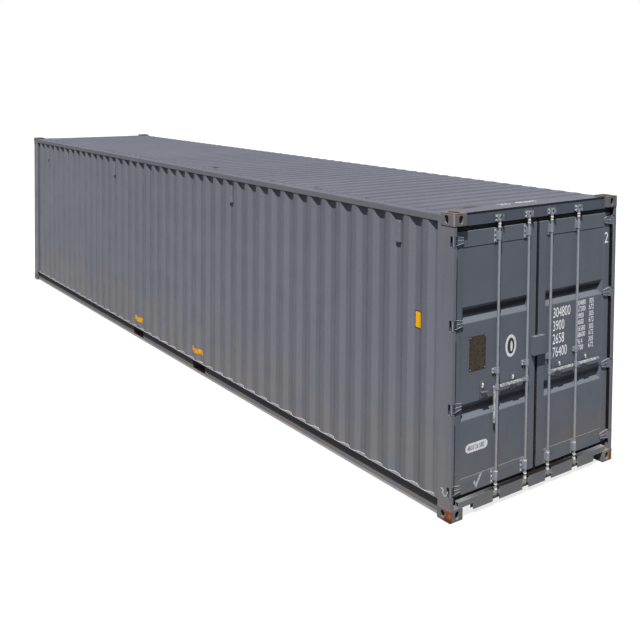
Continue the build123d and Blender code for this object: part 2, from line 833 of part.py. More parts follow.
def rod_bearings(side):
    """Bearings at the ends of both rods of one door, and a guide over each handle."""
    low = door_bottom + bearing_from_edge
    high = door_top - bearing_from_edge - bearing_plate_height
    bearings = [(low, bearing_plate_height, bearing_height, door_face_depth),
                (high, bearing_plate_height, bearing_height, door_face_depth),
                (guide_z - guide_height / 2, guide_height, guide_height, panel_face_depth)]
    with BuildPart() as parts:
        for inset in rod_insets.values():
            for base, plate_height, saddle_height, seat_depth in bearings:
                with BuildSketch(Plane.XY.offset(base + (plate_height - saddle_height) / 2)):
                    saddle_outline(side, inset, seat_depth)
                extrude(amount=saddle_height)
                y = (side_y(side, inset - bearing_plate_outer), side_y(side, inset + bearing_plate_inner))
                box_between((end_x(seat_depth), end_x(door_face_depth - bearing_plate)), y,
                            (base, base + plate_height))
    save(parts, f"{side_names[side]}_rod_bearings")


def handle_retainers(side):
    """Back plates, each with a shelf that a handle rests on."""
    plate_front = door_face_depth - retainer_plate
    shelf_top = handle_z - handle_width / 2 - seat
    with BuildPart() as retainers:
        for inset in rod_insets.values():
            middle = inset - retainer_from_rod
            y = (side_y(side, middle - retainer_width / 2), side_y(side, middle + retainer_width / 2))
            box_between((end_x(panel_face_depth), end_x(plate_front)), y,
                        (handle_z - retainer_height / 2, handle_z + retainer_height / 2))
            box_between((end_x(plate_front - seat), end_x(retainer_front)), y,
                        (shelf_top - retainer_shelf, shelf_top))
    save(retainers, f"{side_names[side]}_handle_retainers")


def lock_box(side):
    """One half of the lock box over the gap between the doors, open below."""
    closing = side_y(side, half_width - seal_gap)
    outer = side_y(side, half_width - seal_gap - lock_box_width)
    wall = lock_box_wall
    low, high = lock_box_bottom, lock_box_bottom + lock_box_height
    with BuildPart() as box:
        box_between((end_x(lock_box_front), end_x(door_face_depth)), (outer, closing), (low, high))
        box_between((end_x(lock_box_front + wall), end_x(door_face_depth)), (outer - side * wall, closing),
                    (low, high - wall), Mode.SUBTRACT)
    save(box, f"{side_names[side]}_lock_box")


def locking_rod(side, name):
    """One rod with a cam at each end and the hub that carries its handle."""
    inset = rod_insets[name]
    x, y = end_x(rod_depth), side_y(side, inset)
    low, high = lower_cam_z - cam_height / 2, upper_cam_z + cam_height / 2
    pivot_y = side_y(side, inset - handle_pivot)
    gap = handle_thickness / 2 + handle_side_clearance
    with BuildPart() as rod:
        with Locations((x, y, (low + high) / 2)):
            Cylinder(rod_radius, high - low)
        for z in (lower_cam_z, upper_cam_z):
            with BuildSketch(Plane.XY.offset(z - cam_height / 2)):
                with Locations((x, y)):
                    Circle(cam_radius)
                plan_outline(side, [(inset, rod_depth - cam_lobe_width / 2),
                                    (inset - cam_lobe, rod_depth - cam_lobe_width / 2),
                                    (inset - cam_lobe, rod_depth + cam_lobe_width / 2),
                                    (inset, rod_depth + cam_lobe_width / 2)])
            extrude(amount=cam_height)
        with Locations((x, y, handle_z)):
            Cylinder(hub_radius, hub_height)
        for start in (x + gap, x - gap - ear_thickness):
            with BuildSketch(Plane.YZ.offset(start)):
                with Locations((pivot_y, handle_z)):
                    Circle(ear_radius)
                with Locations(((y + pivot_y) / 2, handle_z)):
                    Rectangle(handle_pivot, 2 * ear_radius)
            extrude(amount=ear_thickness)
        pin_half = gap + ear_thickness + handle_pin_proud
        with BuildSketch(Plane.YZ.offset(x - pin_half)):
            with Locations((pivot_y, handle_z)):
                Circle(handle_pin_radius)
        extrude(amount=2 * pin_half)
    save(rod, f"{side_names[side]}_{name}_rod")


def handle(side, name, hanging):
    """Flat handle on its hub pin, level in its retainer or hanging straight down."""
    inset = rod_insets[name]
    pivot_y = side_y(side, inset - handle_pivot)
    reach = (0, 0, -1) if hanging else (0, side, 0)
    plane = Plane((end_x(rod_depth) - handle_thickness / 2, pivot_y, handle_z), x_dir=reach, z_dir=(1, 0, 0))
    grip_start = handle_length - handle_end_radius
    with BuildPart() as bar:
        with BuildSketch(plane):
            Circle(handle_width / 2)
            with Locations((grip_start / 2, 0)):
                Rectangle(grip_start, handle_width)
            with Locations((grip_start, 0)):
                Circle(handle_end_radius)
            Circle(handle_pin_radius + handle_pin_clearance, mode=Mode.SUBTRACT)
        extrude(amount=handle_thickness)
    save(bar, f"{side_names[side]}_{name}_handle")


def data_plate():
    """Plain plate on the left door."""
    with BuildPart() as plate:
        box_between((end_x(panel_face_depth), end_x(panel_face_depth - data_plate_thickness)),
                    (side_y(left, data_plate_inset), side_y(left, data_plate_inset + data_plate_width)),
                    (data_plate_bottom, data_plate_bottom + data_plate_height))
    save(plate, "data_plate")


os.makedirs("parts", exist_ok=True)
casting_set("bottom_corner_castings", 0, slot_on_top=False)
casting_set("top_corner_castings", top_castings_z, slot_on_top=True)
door_posts()
front_posts()
top_side_rails()
bottom_side_rails()
front_top_rail()
front_bottom_rail()
front_rail_skirts()
side_walls()
side_vents()
front_wall()
roof()
roof_corner_plates()
crossmembers()
fork_pockets()
gooseneck_tunnel()
floor()
door_header()
door_sill()
sill_fronts()
cam_keepers()
for each_side in (left, right):
    door_frame(each_side)
    door_panel(each_side)
    door_seal(each_side)
    hinge_leaves(each_side)
    rod_bearings(each_side)
    handle_retainers(each_side)
    lock_box(each_side)
    for rod_name in rod_insets:
        locking_rod(each_side, rod_name)
        handle(each_side, rod_name, hanging=(each_side == left and rod_name == "outer"))
data_plate()
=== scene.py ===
import bpy
import bmesh
import json
import math
from mathutils import Matrix, Vector


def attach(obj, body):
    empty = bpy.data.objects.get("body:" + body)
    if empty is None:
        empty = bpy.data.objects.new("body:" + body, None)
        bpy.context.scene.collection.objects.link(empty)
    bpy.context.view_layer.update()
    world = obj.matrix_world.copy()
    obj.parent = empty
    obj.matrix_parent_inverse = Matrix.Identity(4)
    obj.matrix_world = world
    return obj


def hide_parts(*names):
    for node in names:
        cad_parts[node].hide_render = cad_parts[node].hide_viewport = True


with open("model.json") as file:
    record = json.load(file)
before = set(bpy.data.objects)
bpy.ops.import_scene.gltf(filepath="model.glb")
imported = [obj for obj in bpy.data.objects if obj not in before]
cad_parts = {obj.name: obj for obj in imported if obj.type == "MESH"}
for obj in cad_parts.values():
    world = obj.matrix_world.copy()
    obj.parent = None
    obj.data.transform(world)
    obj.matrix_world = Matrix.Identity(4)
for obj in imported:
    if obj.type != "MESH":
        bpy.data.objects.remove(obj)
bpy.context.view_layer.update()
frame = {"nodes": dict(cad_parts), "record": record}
print("frame loaded")

# in metres: X runs to the door end, Y across, Z up
overall = {"halfLength": 6.096, "halfWidth": 1.219, "sheet": 0.002, "veil": 0.0004}
doorDepths = {"frame": 0.048, "panel": 0.051, "bearing": 0.043, "rods": 0.02}  # how far in from the door end
rodInsets = {"outer": 0.62507, "inner": 1.04798}                               # from the side faces
sides = {"left": -1, "right": 1}


def endX(depth):  # plane this far in from the door end
    return overall["halfLength"] - depth


def sideY(side, inset):  # plane this far in from a side face
    return sides[side] * (overall["halfWidth"] - inset)


def colour(*levels):  # 0 to 255 as seen on screen, to what the shader wants
    parts = (level / 255 for level in levels)
    return (*(part / 12.92 if part <= 0.04045 else ((part + 0.055) / 1.055) ** 2.4 for part in parts), 1)


def addNode(tree, kind, values=None, **settings):
    node = tree.nodes.new(kind)
    for name, value in settings.items():
        setattr(node, name, value)
    for name, value in (values or {}).items():
        if isinstance(value, bpy.types.NodeSocket):
            tree.links.new(value, node.inputs[name])
        else:
            node.inputs[name].default_value = value
    return node


def treeOf(*values):
    return next(value.id_data for value in values if isinstance(value, bpy.types.NodeSocket))


def feed(sockets, sources):
    for name, source in sources.items():
        source.id_data.links.new(source, sockets[name])


def objectCoords(tree):
    return addNode(tree, "ShaderNodeTexCoord").outputs["Object"]


def along(vector, axis):
    return addNode(treeOf(vector), "ShaderNodeSeparateXYZ", {0: vector}).outputs[axis]


def facing(tree, axis):  # how far the surface faces along an axis
    return along(addNode(tree, "ShaderNodeNewGeometry").outputs["Normal"], axis)


def stretched(coords, scale):
    return addNode(treeOf(coords), "ShaderNodeMapping", {"Vector": coords, "Scale": scale}).outputs[0]


def noise(coords, scale, detail=3, roughness=0.55, distortion=0):
    return addNode(treeOf(coords), "ShaderNodeTexNoise", {
        "Vector": coords, "Scale": scale, "Detail": detail,
        "Roughness": roughness, "Distortion": distortion}).outputs[0]


def ramp(value, low, high, toLow=0, toHigh=1):
    return addNode(treeOf(value), "ShaderNodeMapRange", {
        "Value": value, "From Min": low, "From Max": high, "To Min": toLow, "To Max": toHigh,
    }, interpolation_type="SMOOTHSTEP").outputs[0]


def maths(operation, first, second=0.0):
    return addNode(treeOf(first, second), "ShaderNodeMath", {0: first, 1: second}, operation=operation).outputs[0]


def times(first, second):
    return maths("MULTIPLY", first, second)


def plus(first, second):
    return maths("ADD", first, second)


def less(first, second):
    return maths("SUBTRACT", first, second)


def mixed(factor, first, second, blend="MIX"):
    return addNode(treeOf(factor, first, second), "ShaderNodeMix", {0: factor, 6: first, 7: second},
                   data_type="RGBA", blend_type=blend).outputs[2]


def shaded(first, second):
    return mixed(1.0, first, second, "MULTIPLY")


def nodeGroup(name, kind, inputs, outputs):
    tree = bpy.data.node_groups.new(name, kind)
    names = {}
    for label, (socketKind, value) in inputs.items():
        socket = tree.interface.new_socket(name=label, in_out="INPUT", socket_type="NodeSocket" + socketKind)
        if value is not None:
            socket.default_value = value
        names[label] = socket.identifier
    for label, socketKind in outputs.items():
        tree.interface.new_socket(name=label, in_out="OUTPUT", socket_type="NodeSocket" + socketKind)
    return tree, tree.nodes.new("NodeGroupInput").outputs, tree.nodes.new("NodeGroupOutput").inputs, names


def makeWeatheringGroup():  # faded patches, rain streaks, dust low down and dust on ledges
    tree, given, result, _ = nodeGroup("weathering", "ShaderNodeTree", {
        "Base": ("Color", colour(110, 113, 122)), "Dust": ("Color", colour(122, 114, 106)),
        "Dust Height": ("Float", 0.8), "Dust Amount": ("Float", 0.35), "Ledge Dust": ("Float", 0.0),
        "Patches": ("Float", 0.5), "Streaks": ("Float", 0.3),
    }, {"Colour": "Color", "Roughness": "Float", "Height": "Float"})
    coords = objectCoords(tree)
    broad = ramp(noise(coords, 0.55), 0.35, 0.65)
    middle = ramp(noise(coords, 3.1, 5, 0.6), 0.35, 0.7)
    runs = noise(stretched(coords, (9, 9, 0.45)), 1.4, 4)
    fine = noise(coords, 70, 4, 0.7)
    lighter = shaded(given["Base"], (1.13, 1.12, 1.11, 1))
    darker = shaded(given["Base"], (0.80, 0.79, 0.78, 1))
    paint = mixed(times(broad, given["Patches"]), given["Base"], lighter)
    paint = mixed(times(ramp(runs, 0.52, 0.74), given["Streaks"]), paint, darker)
    paint = mixed(times(middle, 0.16), paint, darker)
    height = maths("DIVIDE", along(coords, "Z"), given["Dust Height"])
    low = times(less(1.0, ramp(height, 0.0, 1.0)), given["Dust Amount"])
    cover = times(low, ramp(noise(coords, 2.3, 6, 0.65), 0.25, 0.6))
    ledge = times(ramp(facing(tree, "Z"), 0.35, 0.8), given["Ledge Dust"])
    cover = maths("MAXIMUM", cover, times(ledge, ramp(fine, 0.2, 0.6, 0.6, 1.0)))
    paint = mixed(cover, paint, given["Dust"])
    feed(result, {
        "Colour": shaded(paint, ramp(fine, 0.3, 0.75, 0.93, 1.05)),
        "Roughness": plus(ramp(middle, 0, 1, 0.44, 0.6), times(cover, 0.25)),
        "Height": times(fine, 0.35)})
    return tree


def makeRustGroup():  # ragged rust spots
    tree, given, result, _ = nodeGroup("rust", "ShaderNodeTree", {
        "Scale": ("Float", 9.0), "Amount": ("Float", 0.1),
    }, {"Mask": "Float", "Colour": "Color", "Height": "Float"})
    coords = objectCoords(tree)
    edge = less(0.78, times(given["Amount"], 0.5))
    mask = ramp(noise(coords, given["Scale"], 7, 0.68, 0.3), edge, plus(edge, 0.035))
    tone = noise(coords, 38, 5, 0.7)
    feed(result, {
        "Mask": mask, "Height": times(mask, plus(tone, 0.2)),
        "Colour": mixed(ramp(tone, 0.35, 0.65), colour(82, 47, 30), colour(158, 92, 48))})
    return tree


def makePatchGroup():  # soft ragged area round one place
    tree, given, result, _ = nodeGroup("patch", "ShaderNodeTree", {
        "Centre": ("Vector", (0, 0, 0)), "Reach": ("Vector", (1, 1, 1)),
        "Soft": ("Float", 0.4), "Ragged": ("Float", 0.8), "Grain": ("Float", 14.0),
    }, {"Mask": "Float"})
    away = coords = objectCoords(tree)
    for operation, label in (("SUBTRACT", "Centre"), ("DIVIDE", "Reach")):
        away = addNode(tree, "ShaderNodeVectorMath", {0: away, 1: given[label]}, operation=operation).outputs[0]
    length = addNode(tree, "ShaderNodeVectorMath", {0: away}, operation="LENGTH").outputs[1]
    wobble = less(noise(coords, given["Grain"], 6, 0.65), 0.5)
    length = plus(length, times(wobble, given["Ragged"]))
    outside = ramp(length, less(1.0, given["Soft"]), plus(1.0, given["Soft"]))
    feed(result, {"Mask": less(1.0, outside)})
    return tree


weathering, rust, patch = makeWeatheringGroup(), makeRustGroup(), makePatchGroup()


def groupNode(tree, group, **values):
    return addNode(tree, "ShaderNodeGroup", {name.replace("_", " "): value for name, value in values.items()},
                   node_tree=group).outputs


def newMaterial(name):
    material = bpy.data.materials.new(name)
    material.use_nodes = True
    return material.node_tree, material.node_tree.nodes["Principled BSDF"]


def bumped(shader, height, strength, distance):
    bump = addNode(treeOf(height), "ShaderNodeBump", {"Height": height, "Strength": strength, "Distance": distance})
    feed(shader.inputs, {"Normal": bump.outputs[0]})


# where the paint is dirty or gone, a near-black line along the sill's top, and painted shade in the door grooves:
# (depth, side, inset, height, reach, tint, strength, ragged)
tints = {"casting": (112, 107, 106), "worn": (152, 146, 142)}
stainsAndPaintedShade = {
    "castingPaint": [
        (0.03, "left", 0.0, 0.06, (0.07, 0.02, 0.085), "rust", 0.9, 1.1),
        (0.02, "left", 0.0, 0.012, (0.09, 0.02, 0.03), (88, 34, 20), 0.8, 1.0),
        (0.0, "right", 0.0, 0.06, (0.03, 0.07, 0.065), "rust", 0.85, 0.9),
        (0.0, "right", 0.11, 0.08, (0.03, 0.06, 0.06), (128, 130, 120), 0.6, 0.9),
        (0.06, "left", 0.0, 2.84, (0.13, 0.02, 0.075), tints["casting"], 0.3, 1.3),
        (0.0, "left", 0.0, 2.84, (0.016, 0.016, 0.06), tints["worn"], 0.6, 1.0),
        (0.09, "left", 0.0, 2.89, (0.09, 0.016, 0.010), tints["worn"], 0.5, 1.2),
        (0.0, "left", 0.09, 2.89, (0.016, 0.09, 0.010), tints["worn"], 0.5, 1.2),
        (0.0, "left", 0.08, 2.84, (0.02, 0.10, 0.07), tints["casting"], 0.25, 1.3)],
    "postPaint": [
        (0.13, "left", 0.005, 0.55, (0.05, 0.02, 0.42), (124, 120, 118), 0.25, 1.6),
        (0.05, "left", 0.005, 0.15, (0.12, 0.02, 0.10), (120, 114, 110), 0.3, 1.3),
        (0.15, "left", 0.005, 1.3, (0.03, 0.02, 0.6), (116, 114, 116), 0.15, 1.5),
        (0.10, "left", 0.005, 2.70, (0.14, 0.02, 0.05), (116, 110, 108), 0.2, 1.4)],
    "sillPaint": [
        (0.03, "left", overall["halfWidth"], 0.172, (0.05, 0.93, 0.006), (28, 25, 26), 1.0, 0.3),
        (0.02, "left", 0.14, 0.15, (0.05, 0.13, 0.05), (117, 119, 117), 0.45, 0.9),
        (0.02, "right", 0.12, 0.15, (0.05, 0.07, 0.06), (124, 124, 118), 0.5, 0.9)],
    "doorPaint": [
        (0.04, "left", 0.5, 0.34, (0.02, 0.45, 0.03), (116, 118, 124), 0.3, 1.2),
        (0.04, "right", 0.5, 0.42, (0.02, 0.5, 0.16), (112, 104, 100), 0.3, 1.2)],
    "roofPaint": [
        (5.0, "left", 0.27, 2.87, (0.10, 0.045, 0.03), (52, 54, 62), 0.9, 0.5),
        *((depth, "left", 0.12, 2.87, (reach, 0.02, 0.03), (60, 62, 70), 0.7, 0.6)
          for depth, reach in ((3.28, 0.06), (2.34, 0.07), (1.40, 0.06))),
        (0.372, "left", 0.57, 2.87, (0.022, 0.15, 0.03), (62, 48, 40), 0.85, 0.9)],
}
for side in sides:
    for depth in (0.09, 2 * overall["halfLength"] - 0.09):
        for reach, tint, strength, ragged in ((0.13, (80, 66, 55), 0.95, 0.9), (0.06, (74, 48, 32), 0.85, 1.2)):
            stainsAndPaintedShade["castingPaint"].append((depth, side, 0.08, 2.896, (reach, reach, 0.012), tint, strength, ragged))
    # painted shade over the upper slope and floor of each door groove
    for z, strength in ((0.99, 0.68), (1.915, 0.95)):
        stainsAndPaintedShade["doorPaint"].append((0.09, side, 0.62, z + 0.026, (0.028, 0.6, 0.042), (44, 47, 55), strength, 0.05))


def makePaint(name, base, rustAmount, rustScale, streaks, dustAmount, dustHeight, uneven=0.5, ledgeDust=0.0,
              dust=(122, 114, 106), shine=0.06, folds=None):
    tree, shader = newMaterial(name)
    shader.inputs["Specular IOR Level"].default_value = shine
    worn = groupNode(tree, weathering, Base=colour(*base), Streaks=streaks, Dust_Amount=dustAmount,
                     Dust_Height=dustHeight, Patches=uneven, Ledge_Dust=ledgeDust, Dust=colour(*dust))
    spots = groupNode(tree, rust, Scale=rustScale, Amount=rustAmount)
    paint, rough = worn["Colour"], worn["Roughness"]
    if folds:  # painted shade: the flats along a folded sheet are made darker than its slopes
        sideways = maths("ABSOLUTE", facing(tree, "X"))
        paint = shaded(paint, ramp(sideways, 0.12, 0.4, *folds))
    for depth, side, inset, z, reach, tint, strength, ragged in stainsAndPaintedShade.get(name, ()):
        area = groupNode(tree, patch, Centre=(endX(depth), sideY(side, inset), z), Reach=reach, Ragged=ragged)
        mask = times(area["Mask"], strength)
        paint = mixed(mask, paint, spots["Colour"] if tint == "rust" else colour(*tint))
        rough = plus(rough, times(mask, 0.25))
    feed(shader.inputs, {
        "Base Color": mixed(spots["Mask"], paint, spots["Colour"]),
        "Roughness": plus(rough, times(spots["Mask"], 0.3))})
    bumped(shader, plus(worn["Height"], spots["Height"]), 0.25, 0.002)


# road dirt on the lower locking gear, and the near-black painted shade at its foot inside the sill's shaded bays
roadDirtAndPaintedShade = {"tint": (124, 119, 108), "blur": 0.45, "cover": 0.75, "grime": (38, 35, 33), "grimeBlur": 0.012}


# galvanised steel with its grain of light and dark cells, tan with road dirt below a height and near-black painted
# shade at its foot
def makeSteel(name, base, metallic, rough, rustAmount, grain, contrast=0.3, dirtTop=0.0, paintedFootShadeTop=0.0):
    tree, shader = newMaterial(name)
    coords = objectCoords(tree)
    cells = addNode(tree, "ShaderNodeTexVoronoi", {"Vector": coords, "Scale": grain}).outputs["Color"]
    cells = addNode(tree, "ShaderNodeSeparateColor", {0: cells}).outputs[0]
    cloudy = noise(coords, 12, 5, 0.65)
    tone = colour(*base)
    dark, light = ([part * level for part in tone] for level in (1 - contrast, 1 + contrast))
    metal = mixed(ramp(cells, 0, 1), dark, light)
    metal = mixed(ramp(cloudy, 0.35, 0.7, 0.2, 0.85), metal, tone)
    height = along(coords, "Z")
    low = ramp(plus(height, times(cloudy, 0.5)),
               dirtTop - roadDirtAndPaintedShade["blur"], dirtTop + roadDirtAndPaintedShade["blur"], roadDirtAndPaintedShade["cover"], 0.0)
    metal = mixed(low, metal, colour(*roadDirtAndPaintedShade["tint"]))
    grime = ramp(height, paintedFootShadeTop - roadDirtAndPaintedShade["grimeBlur"], paintedFootShadeTop + roadDirtAndPaintedShade["grimeBlur"], 1.0, 0.0)
    metal = mixed(grime, metal, colour(*roadDirtAndPaintedShade["grime"]))
    spots = groupNode(tree, rust, Scale=22.0, Amount=rustAmount)
    clean = less(1.0, maths("MAXIMUM", spots["Mask"], low))
    feed(shader.inputs, {
        "Base Color": mixed(spots["Mask"], metal, spots["Colour"]),
        "Roughness": ramp(cloudy, 0.3, 0.7, rough - 0.08, rough + 0.16),
        "Metallic": times(clean, metallic)})
    bumped(shader, plus(cloudy, spots["Height"]), 0.2, 0.001)


def makePlain(name, base, rough, vary, scale, second=None):  # a worn colour that drifts towards a second one
    tree, shader = newMaterial(name)
    shader.inputs["Specular IOR Level"].default_value = 0.1
    coords = objectCoords(tree)
    cloudy = noise(coords, scale, 6, 0.65)
    second = second or tuple(part * 0.6 for part in base)
    feed(shader.inputs, {
        "Base Color": mixed(ramp(cloudy, 0.35, 0.75, 0, vary), colour(*base), colour(*second)),
        "Roughness": ramp(cloudy, 0.3, 0.7, rough - 0.1, min(rough + 0.1, 1))})
    bumped(shader, noise(coords, scale * 6, 4, 0.7), 0.2, 0.001)


def makeBoards():  # plywood: sheets across the floor with grain and dark joints
    tree, shader = newMaterial("floorBoards")
    coords = objectCoords(tree)
    grain = noise(stretched(coords, (2, 26, 8)), 3.0, 6, 0.7)
    dirt = noise(coords, 1.7, 6, 0.65)
    wood = mixed(ramp(grain, 0.3, 0.7), colour(96, 66, 44), colour(140, 103, 72))
    wood = mixed(ramp(dirt, 0.4, 0.7, 0, 0.6), wood, colour(74, 58, 46))
    joint = maths("PINGPONG", plus(along(coords, "X"), 20.0), 0.61)
    gap = less(1.0, ramp(joint, 0.0, 0.005))
    feed(shader.inputs, {
        "Base Color": mixed(gap, wood, colour(30, 22, 16)),
        "Roughness": ramp(dirt, 0.3, 0.7, 0.55, 0.8)})
    bumped(shader, less(grain, gap), 0.3, 0.002)


# colour, rust amount and scale, streaks, dust amount and height
makePaint("wallPaint", (101, 104, 113), 0.02, 6.0, 0.22, 0.4, 1.3, folds=(0.93, 1.03))
makePaint("railPaint", (103, 105, 112), 0.07, 10.0, 0.1, 0.5, 0.3, shine=0.0)
makePaint("postPaint", (105, 107, 115), 0.05, 12.0, 0.6, 0.25, 0.9)
# the roof's grey is written darker than the walls' same paint: painted shade that offsets the strong light from above
makePaint("roofPaint", (87, 89, 98), 0.03, 5.0, 0.0, 0.35, 0.8, uneven=0.7, shine=0.0)
# the doors' grey is written darker than the walls' same paint: painted shade of the door end
makePaint("doorPaint", (91, 97, 107), 0.02, 8.0, 0.25, 0.4, 1.2, ledgeDust=0.25, dust=(118, 112, 108))
makePaint("headerPaint", (78, 85, 97), 0.03, 10.0, 0.3, 0.0, 0.8)
makePaint("sillPaint", (103, 105, 110), 0.05, 10.0, 0.3, 0.4, 0.3, dust=(118, 116, 110))
makePaint("castingPaint", (98, 98, 103), 0.12, 14.0, 0.3, 0.3, 0.2)
makePaint("basePaint", (58, 58, 60), 0.14, 6.0, 0.3, 0.5, 0.3)
for name, values in {  # colour, metallic, roughness, rust, grain, contrast, height of dirt and of the painted shade at the foot
    "rodSteel": ((125, 130, 139), 0.35, 0.42, 0.06, 30.0, 0.08, 0.75, 0.105),
    "bearingPaint": ((120, 125, 134), 0.15, 0.5, 0.08, 40.0, 0.15, 0.2),
    "gearSteel": ((158, 162, 164), 0.5, 0.36, 0.25, 50.0, 0.8),
    "keeperSteel": ((118, 122, 126), 0.3, 0.42, 0.2, 44.0, 0.8, 0.0, 0.1),
    "retainerSteel": ((74, 80, 86), 0.1, 0.6, 0.12, 50.0, 0.35),
    "brightSteel": ((205, 208, 208), 0.45, 0.34, 0.12, 70.0, 0.25, 0.0, 0.1),
    "boltSteel": ((168, 172, 178), 0.4, 0.4, 0.1, 120.0),
}.items():
    makeSteel(name, *values)
for name, values in {  # colour, roughness, how much it varies and how finely, second colour
    # painted highlight on the hinge ribs and knuckle strips
    "ribPaint": ((150, 153, 161), 0.6, 0.6, 40.0, (112, 115, 122)),
    "ringTan": ((146, 134, 114), 0.6, 0.5, 40.0),
    "sealRubber": ((18, 18, 22), 0.75, 0.8, 9.0, (36, 34, 36)),
    "ventPlastic": ((108, 111, 119), 0.55, 0.5, 14.0, (92, 92, 98)),
    "plateMetal": ((68, 62, 52), 0.6, 0.9, 34.0, (44, 42, 37)),
    "stickerWhite": ((222, 222, 230), 0.5, 0.5, 30.0, (160, 162, 168)),
    "stickerGrey": ((44, 46, 50), 0.6, 0.5, 60.0, (84, 86, 92)),
    "markPaint": ((240, 242, 247), 0.6, 0.6, 90.0, (190, 194, 202)),
    "chalk": ((184, 187, 196), 0.9, 0.9, 70.0, (128, 134, 144)),
    "roofMark": ((176, 178, 184), 0.6, 0.8, 60.0, (110, 112, 118)),
    "labelYellow": ((232, 170, 22), 0.5, 0.4, 40.0, (186, 132, 22)),
    "labelOrange": ((226, 156, 22), 0.5, 0.9, 26.0, (146, 96, 26)),
    # near-black for print, and for painted shade on the cams, the header's edge and the hinge slots
    "labelDark": ((28, 28, 33), 0.6, 0.3, 40.0),
    "caulkPaint": ((168, 168, 170), 0.7, 0.7, 5.0, (112, 113, 118)),
    "shadeLine": ((40, 43, 50), 0.8, 0.6, 30.0, (58, 60, 66)),
    # dust and a painted highlight on the step under the door sheets
    "dustLine": ((124, 125, 130), 0.8, 0.8, 20.0, (100, 103, 110)),
}.items():
    makePlain(name, *values)
makeBoards()
print("materials made")

finishedNodes = {  # by finish: nodes, and the radius that rounds their edges, if any
    "castingPaint": {"bottom_corner_castings": 0.005, "top_corner_castings": 0.005},
    "postPaint": {"door_posts": 0.0028, "front_posts": 0.004},
    "railPaint": {"top_side_rails": 0.005, "bottom_side_rails": 0.002, "front_top_rail": 0.005,
                  "front_bottom_rail": 0.002, "front_rail_skirts": 0.002},
    "wallPaint": {"front_wall": 0.0009, "side_walls": 0}, "ventPlastic": {"side_vents": 0.0015},
    "headerPaint": {"door_header": 0.0018}, "sillPaint": {"door_sill": 0.0022, "sill_fronts": 0.0022},
    "keeperSteel": {"cam_keepers": 0.0018}, "roofPaint": {"roof": 0, "roof_corner_plates": 0},
    "basePaint": {"crossmembers": 0, "fork_pockets": 0, "gooseneck_tunnel": 0},
    "floorBoards": {"floor": 0}, "plateMetal": {"data_plate": 0},
}
doorLooks = {"door_frame": ("doorPaint", 0.003), "door_seal": ("sealRubber", 0.004),
             "hinge_leaves": ("doorPaint", 0.002), "rod_bearings": ("bearingPaint", 0.0015),
             "handle_retainers": ("retainerSteel", 0.0018), "lock_box": ("doorPaint", 0.0018),
             "door_panel": ("doorPaint", 0)}
for rod in rodInsets:
    doorLooks |= {f"{rod}_rod": ("rodSteel", 0.0014), f"{rod}_handle": ("gearSteel", 0.003)}
nodeLooks = {node: (finish, radius) for finish, nodes in finishedNodes.items() for node, radius in nodes.items()}
nodeLooks |= {f"{side}_{piece}": look for side in sides for piece, look in doorLooks.items()}

nodeBody = {node: body for body, nodes in frame["record"]["behaviour"]["bodies"].items() for node in nodes}
nodeSlot = {entry["node"]: entry["material_slot"] for entry in frame["record"]["subparts"]}
for name, node in frame["nodes"].items():
    finish = bpy.data.materials[nodeLooks[name][0]]
    if not node.material_slots:
        node.data.materials.append(finish)
    for place in node.material_slots:
        place.material = finish
print("finishes on the frame")

onFrame, onLeftDoor, onRightDoor = (
    ("container_frame", "frame_paint"), ("left_door", "door_paint"), ("right_door", "door_paint"))


def linked(name, data):
    thing = bpy.data.objects.new(name, data)
    bpy.context.scene.collection.objects.link(thing)
    return thing


def carried(piece, body, slotName):
    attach(piece, body)


def evaluatedMesh(piece):
    graph = bpy.context.evaluated_depsgraph_get()
    return bpy.data.meshes.new_from_object(piece.evaluated_get(graph))


def settled(piece):  # modifiers made part of the mesh
    mesh = evaluatedMesh(piece)
    piece.modifiers.clear()
    piece.data = mesh
    return piece


def standIn(piece, nodeName):  # the piece is seen in place of the CAD node
    piece.data.materials.clear()
    piece.data.materials.append(bpy.data.materials[nodeLooks[nodeName][0]])
    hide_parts(nodeName)
    carried(piece, nodeBody[nodeName], nodeSlot[nodeName])


def softened(piece, width, segments, bendAngle=25):
    bevel = piece.modifiers.new("edges", "BEVEL")
    bevel.width = width
    bevel.segments = segments
    bevel.limit_method = "ANGLE"
    bevel.angle_limit = math.radians(bendAngle)
    bevel.use_clamp_overlap = True
    bevel.harden_normals = True
    piece.data.shade_smooth()


def evened(piece, sharpest=40):  # flats shade flat and bends smooth
    piece.data.shade_smooth()
    piece.data.set_sharp_from_angle(angle=math.radians(sharpest))
    normals = piece.modifiers.new("normals", "WEIGHTED_NORMAL")
    normals.keep_sharp = True
    normals.weight = 100
    return settled(piece)


hinge = {"heights": (0.28, 1.065, 1.85, 2.635), "half": 0.049, "start": 0.045, "end": 0.165, "face": 0.036,
         "narrower": 0.42, "rib": 0.0028}
bearing = {"kept": 0.026, "shorter": 0.4}


def leafHalf(inset):  # the leaves grow narrower away from their pins
    part = (inset - hinge["start"]) / (hinge["end"] - hinge["start"])
    return hinge["half"] * (1 - hinge["narrower"] * min(max(part, 0), 1))


def taperLeaf(vert, inset):
    middle = min(hinge["heights"], key=lambda height: abs(vert.co.z - height))
    vert.co.z = middle + (vert.co.z - middle) * leafHalf(inset) / hinge["half"]


def shortenBearing(vert, inset):  # the plates reach less far to the outer side of their rods
    past = min(rodInsets.values(), key=lambda place: abs(inset - place)) - inset - bearing["kept"]
    if past > 0:
        vert.co.y -= math.copysign(past * bearing["shorter"], vert.co.y)


cleaning = {"weld": 0.00005, "flat": math.radians(0.6), "reshaped": {"leaves": taperLeaf, "bearings": shortenBearing}}


